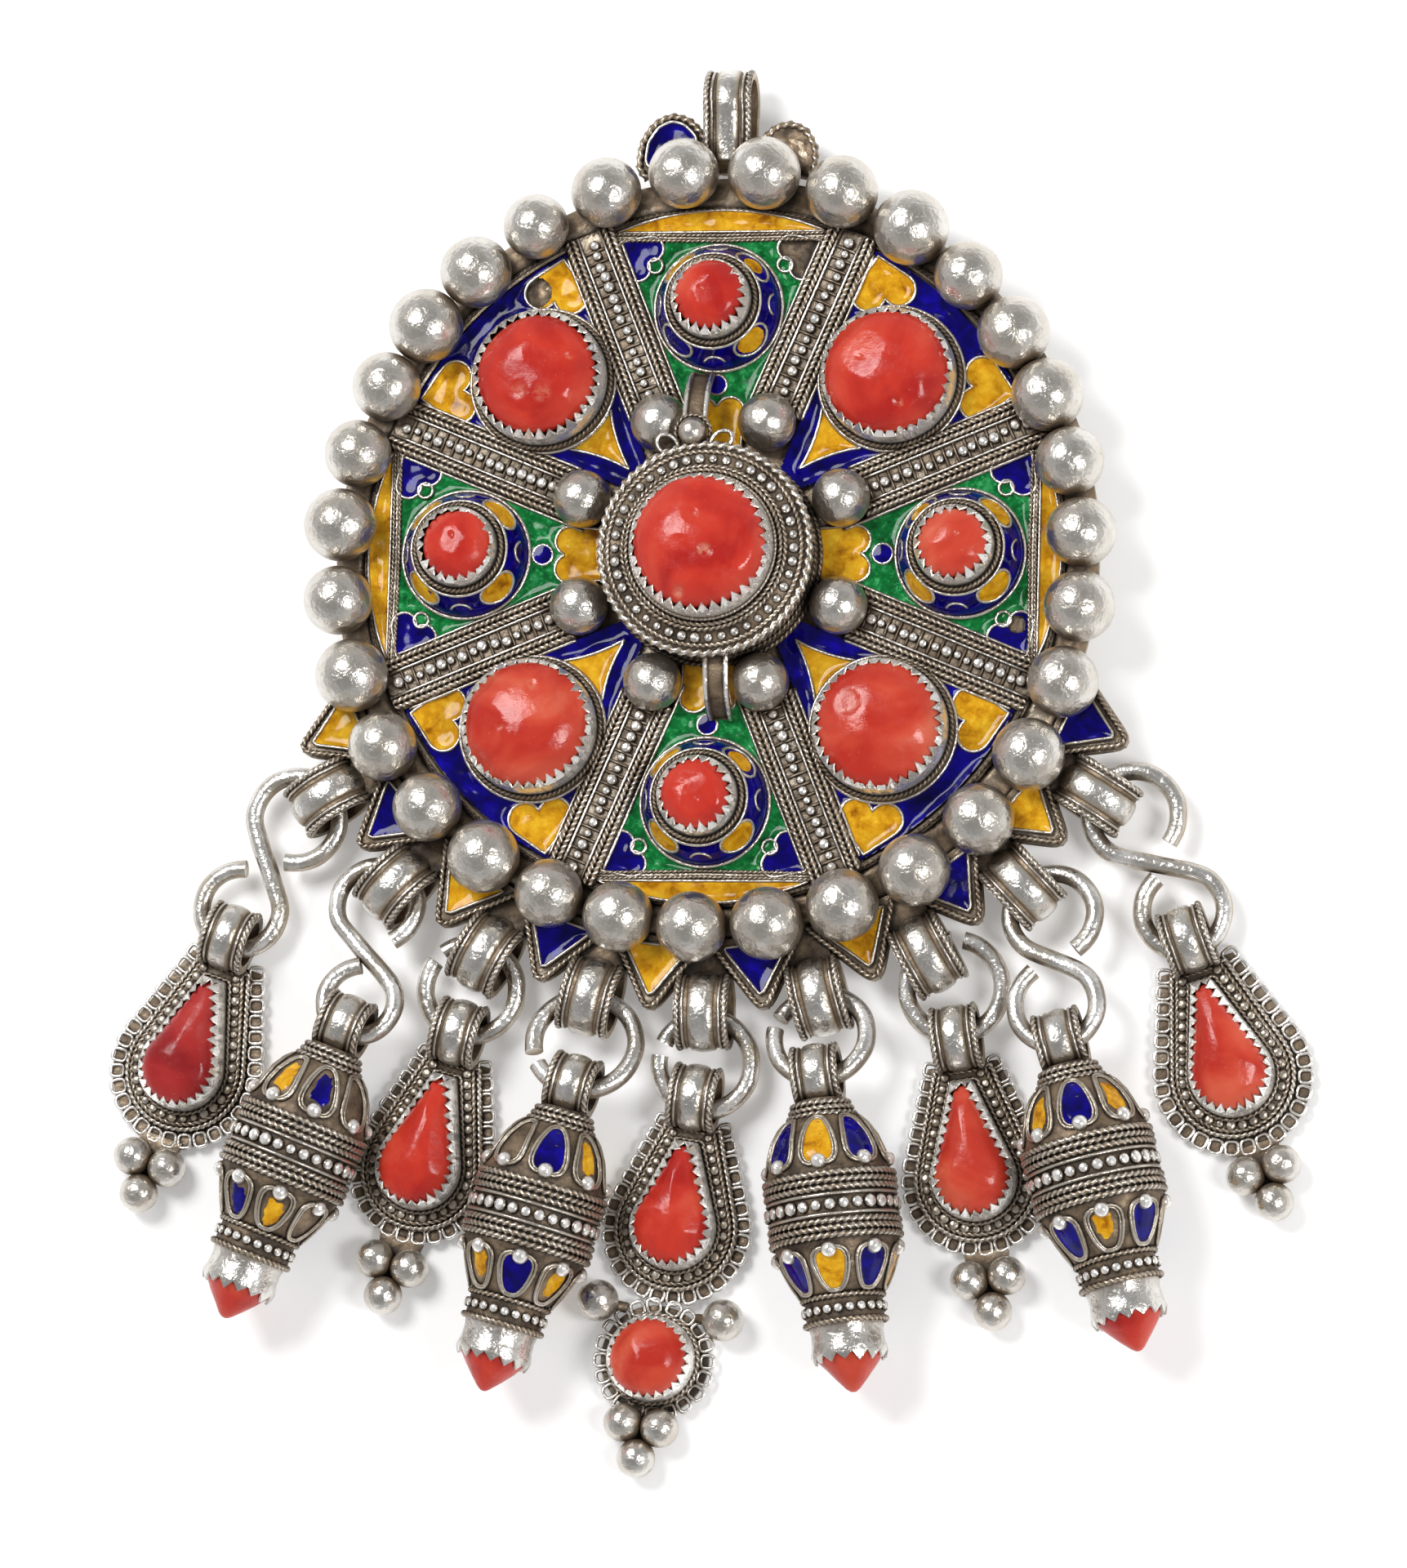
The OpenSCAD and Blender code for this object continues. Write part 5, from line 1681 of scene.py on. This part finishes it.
def enamel_material(name, stops, scale, spots=0.0, rough=0.07):
    """Glassy enamel with cloudy colour, from the ramp's stops."""
    material, nodes, links, surface = new_material(name)
    place = object_place(nodes)
    cloud = noise(nodes, links, place, scale, 4, 0.6, 0.4)
    if spots:
        fine = spread(nodes, links, noise(nodes, links, place, scale * 3.2, 2, 0.6), 0.52, 0.75, 0.0, spots)
        cloud = combine(nodes, links, "ADD", cloud, fine)
    links.new(ramp(nodes, links, cloud, stops), surface.inputs["Base Color"])
    surface.inputs["Roughness"].default_value = rough
    surface.inputs["IOR"].default_value = 1.5
    surface.inputs["Specular IOR Level"].default_value = 0.2
    ripple = noise(nodes, links, place, 0.8, 2, 0.5)
    pitted = noise(nodes, links, place, 4.5, 2, 0.6)
    bump(nodes, links, surface, [(ripple, 0.15, 0.08), (pitted, 0.08, 0.02)])
    return material


def coral_material(name, deep, middle, pale):
    """Polished coral with clouded colour, pale pits, fine scratches and a waxy gloss."""
    material, nodes, links, surface = new_material(name)
    place = object_place(nodes)
    cloud = noise(nodes, links, place, 0.16, 3, 0.5, 0.5)
    body = ramp(nodes, links, cloud, [(0.36, deep), (0.52, middle), (0.7, pale)])
    attribute = nodes.new("ShaderNodeAttribute")
    attribute.attribute_name = "tarnish"
    fine = spread(nodes, links, noise(nodes, links, place, 3.0, 3, 0.6), 0.66, 0.74, 0.0, 0.7)
    uneven = spread(nodes, links, noise(nodes, links, place, 1.6), 0.4, 0.6)
    mark = combine(nodes, links, "MULTIPLY", attribute.outputs["Fac"], uneven)
    mark = combine(nodes, links, "ADD", mark, combine(nodes, links, "MULTIPLY", fine, 0.35))
    mix = nodes.new("ShaderNodeMix")
    mix.data_type = "RGBA"
    links.new(mark, mix.inputs["Factor"])
    links.new(body, mix.inputs[6])
    mix.inputs[7].default_value = (0.62, 0.26, 0.17, 1)
    links.new(mix.outputs[2], surface.inputs["Base Color"])
    gloss = spread(nodes, links, noise(nodes, links, place, 0.7, 4, 0.7), 0.35, 0.7, 0.1, 0.34)
    links.new(gloss, surface.inputs["Roughness"])
    surface.inputs["IOR"].default_value = 1.5
    surface.inputs["Specular IOR Level"].default_value = 0.32
    long_way = nodes.new("ShaderNodeMapping")
    long_way.inputs["Rotation"].default_value = (0, 0, radians(35))
    long_way.inputs["Scale"].default_value = (1, 7, 1)
    links.new(place, long_way.inputs["Vector"])
    scratch = noise(nodes, links, long_way.outputs["Vector"], 1.0, 3, 0.7)
    worn = noise(nodes, links, place, 0.6, 3, 0.6)
    bump(nodes, links, surface, [(worn, 0.35, 0.2), (scratch, 0.16, 0.04)])
    return material


def floor_material():
    material, _, _, surface = new_material("floor_white")
    surface.inputs["Base Color"].default_value = (0.93, 0.93, 0.93, 1)
    surface.inputs["Roughness"].default_value = 0.9
    surface.inputs["Emission Color"].default_value = (1, 1, 1, 1)
    surface.inputs["Emission Strength"].default_value = 0.22
    return material


# Studio

def camera_axes():
    """Right, up and backwards directions of the camera, a little to the right of and below straight down."""
    back = unit(np.array([0.18, -0.15, 1.0]))
    ahead = -back
    up = np.array([0, 1.0, 0])
    up = unit(up - ahead * (up @ ahead))
    right = np.cross(ahead, up)
    roll = radians(1.6)
    return right * cos(roll) + up * sin(roll), up * cos(roll) - right * sin(roll), back


def put(thing, at, right, up, back):
    thing.matrix_world = Matrix(np.vstack([np.column_stack([right, up, back, at]), [0, 0, 0, 1]]).tolist())


def camera():
    right, up, back = camera_axes()
    target = np.array([-0.18, -1.91, 4.0]) * MM
    data = bpy.data.cameras.new("camera")
    data.sensor_fit = "VERTICAL"
    data.sensor_height = 36
    data.lens = 175
    data.clip_start = 0.01
    data.clip_end = 20
    thing = bpy.data.objects.new("camera", data)
    bpy.context.scene.collection.objects.link(thing)
    put(thing, target + back * 0.7, right, up, back)
    bpy.context.scene.camera = thing


def soft_light(name, toward, size, power, distance=0.55):
    """Round lamp that shines at the brooch from a direction given in the camera's axes."""
    right, up, back = camera_axes()
    way = unit(toward[0] * right + toward[1] * up + toward[2] * back)
    data = bpy.data.lights.new(name, "AREA")
    data.shape = "DISK"
    data.size = size
    data.energy = power
    thing = bpy.data.objects.new(name, data)
    bpy.context.scene.collection.objects.link(thing)
    side = unit(np.cross(up, way))
    put(thing, way * distance, side, np.cross(way, side), way)


def surroundings():
    """Pale room: light near the floor and darker overhead, as in a small white tent with a dark top."""
    world = bpy.data.worlds.new("studio")
    bpy.context.scene.world = world
    world.use_nodes = True
    nodes, links = world.node_tree.nodes, world.node_tree.links
    nodes.clear()
    out = nodes.new("ShaderNodeOutputWorld")
    background = nodes.new("ShaderNodeBackground")
    place = nodes.new("ShaderNodeTexCoord").outputs["Generated"]
    split = nodes.new("ShaderNodeSeparateXYZ")
    links.new(place, split.inputs["Vector"])
    colour = ramp(nodes, links, split.outputs["Z"], [
        (0.0, (0.7, 0.7, 0.7)),
        (0.35, (0.55, 0.55, 0.55)),
        (0.7, (0.32, 0.32, 0.32)),
        (1.0, (0.22, 0.22, 0.22)),
    ])
    links.new(colour, background.inputs["Color"])
    background.inputs["Strength"].default_value = 1.0
    links.new(background.outputs["Background"], out.inputs["Surface"])


def floor():
    mesh = bpy.data.meshes.new("floor")
    half = 1.5
    corners = [(x * half, y * half, -0.0002) for x, y in ((-1, -1), (1, -1), (1, 1), (-1, 1))]
    mesh.from_pydata(corners, [], [(0, 1, 2, 3)])
    mesh.materials.append(floor_material())
    thing = bpy.data.objects.new("floor", mesh)
    bpy.context.scene.collection.objects.link(thing)


# Assembly

SILVER = silver_material()
ENAMELS = {
    "blue": enamel_material("enamel_blue", [
        (0.3, (0.002, 0.0005, 0.05)), (0.5, (0.003, 0.0008, 0.13)), (0.72, (0.006, 0.002, 0.30)),
    ], 0.7),
    "green": enamel_material("enamel_green", [
        (0.3, (0.002, 0.055, 0.012)), (0.55, (0.005, 0.17, 0.035)), (0.85, (0.05, 0.36, 0.12)),
    ], 0.8, spots=0.35),
    "yellow": enamel_material("enamel_yellow", [
        (0.28, (0.26, 0.08, 0.002)), (0.48, (0.62, 0.29, 0.008)), (0.75, (0.84, 0.51, 0.03)),
    ], 0.6, spots=0.15),
}
# Darkest, middle and palest colour of each kind of coral
CORAL_COLOURS = {
    "coral_deep": [(0.24, 0.012, 0.014), (0.36, 0.022, 0.022), (0.44, 0.045, 0.035)],
    "coral_red": [(0.40, 0.016, 0.012), (0.54, 0.036, 0.02), (0.62, 0.075, 0.04)],
    "coral_pale": [(0.46, 0.028, 0.016), (0.57, 0.062, 0.032), (0.65, 0.13, 0.07)],
}
CORALS = {name: coral_material(name, *colours) for name, colours in CORAL_COLOURS.items()}
# Drops whose coral isn't the usual red
DROP_CORALS = {1: "coral_deep", 6: "coral_pale", 7: "coral_pale", 9: "coral_pale"}


def build():
    plate().make("plate_body", SILVER, "silver", ["disc", "back_rim"])
    strips().make("plate_strips", SILVER, "silver", ["radial_strips"])
    cloisons().make("plate_cloisons", SILVER, "silver")
    settings().make("plate_settings", SILVER, "silver", ["stone_settings"])
    border_balls().make("plate_border_balls", SILVER, "silver", ["border_balls"])
    inner_balls().make("plate_inner_balls", SILVER, "silver", ["inner_balls"])
    lower_bails().make("plate_lower_bails", SILVER, "silver", ["lower_bails"])
    top_bail().make("plate_top_bail", SILVER, "silver", ["top_bail"])
    boss().make("boss", SILVER, "silver", ["centre_boss"])
    for colour, material in ENAMELS.items():
        slot = "enamel_" + colour
        enamel(colour).make("plate_" + slot, material, slot, [slot])
    for colour in ("B", "Y"):
        name = "blue" if colour == "B" else "yellow"
        node = "barrel_enamel_" + name
        barrel_enamel(colour).make("petals_" + name, ENAMELS[name], "enamel_" + name, [node])
    for row in PLATE_STONES:
        plate_stone(row).make("stone_" + row[0][6:], CORALS[row[7]], "coral", [row[0]])
    for row in RINGS:
        ring(row).make(f"link_ring_{row[0]}", SILVER, "silver", [f"ring_{row[0]}"])
    for row in HOOKS:
        hook(row).make(f"link_hook_{row[0]}", SILVER, "silver", [f"hook_{row[0]}"])
    for i, (kind, *_) in enumerate(DROPS, 1):
        body = barrel_drop(i) if kind == "barrel" else tear_drop(i)
        body.make(f"hanging_{i}", SILVER, "silver", [f"drop_{i}"])
        gem = cone_stone(i) if kind == "barrel" else tear_stone(i)
        coral = CORALS[DROP_CORALS.get(i, "coral_red")]
        gem.make(f"hanging_stone_{i}", coral, "coral", [f"drop_coral_{i}"])
    round_stone().make("hanging_stone_round", CORALS["coral_pale"], "coral", ["drop_coral_round"])
    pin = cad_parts["back_pin"]
    pin.data.materials.clear()
    pin.data.materials.append(SILVER)


build()
camera()
soft_light("key", (-0.517, 0.48, 0.707), 0.24, 2.0)
soft_light("fill", (0.48, -0.10, 0.87), 0.18, 1.25)
surroundings()
floor()
bpy.context.scene.view_settings.view_transform = "Standard"
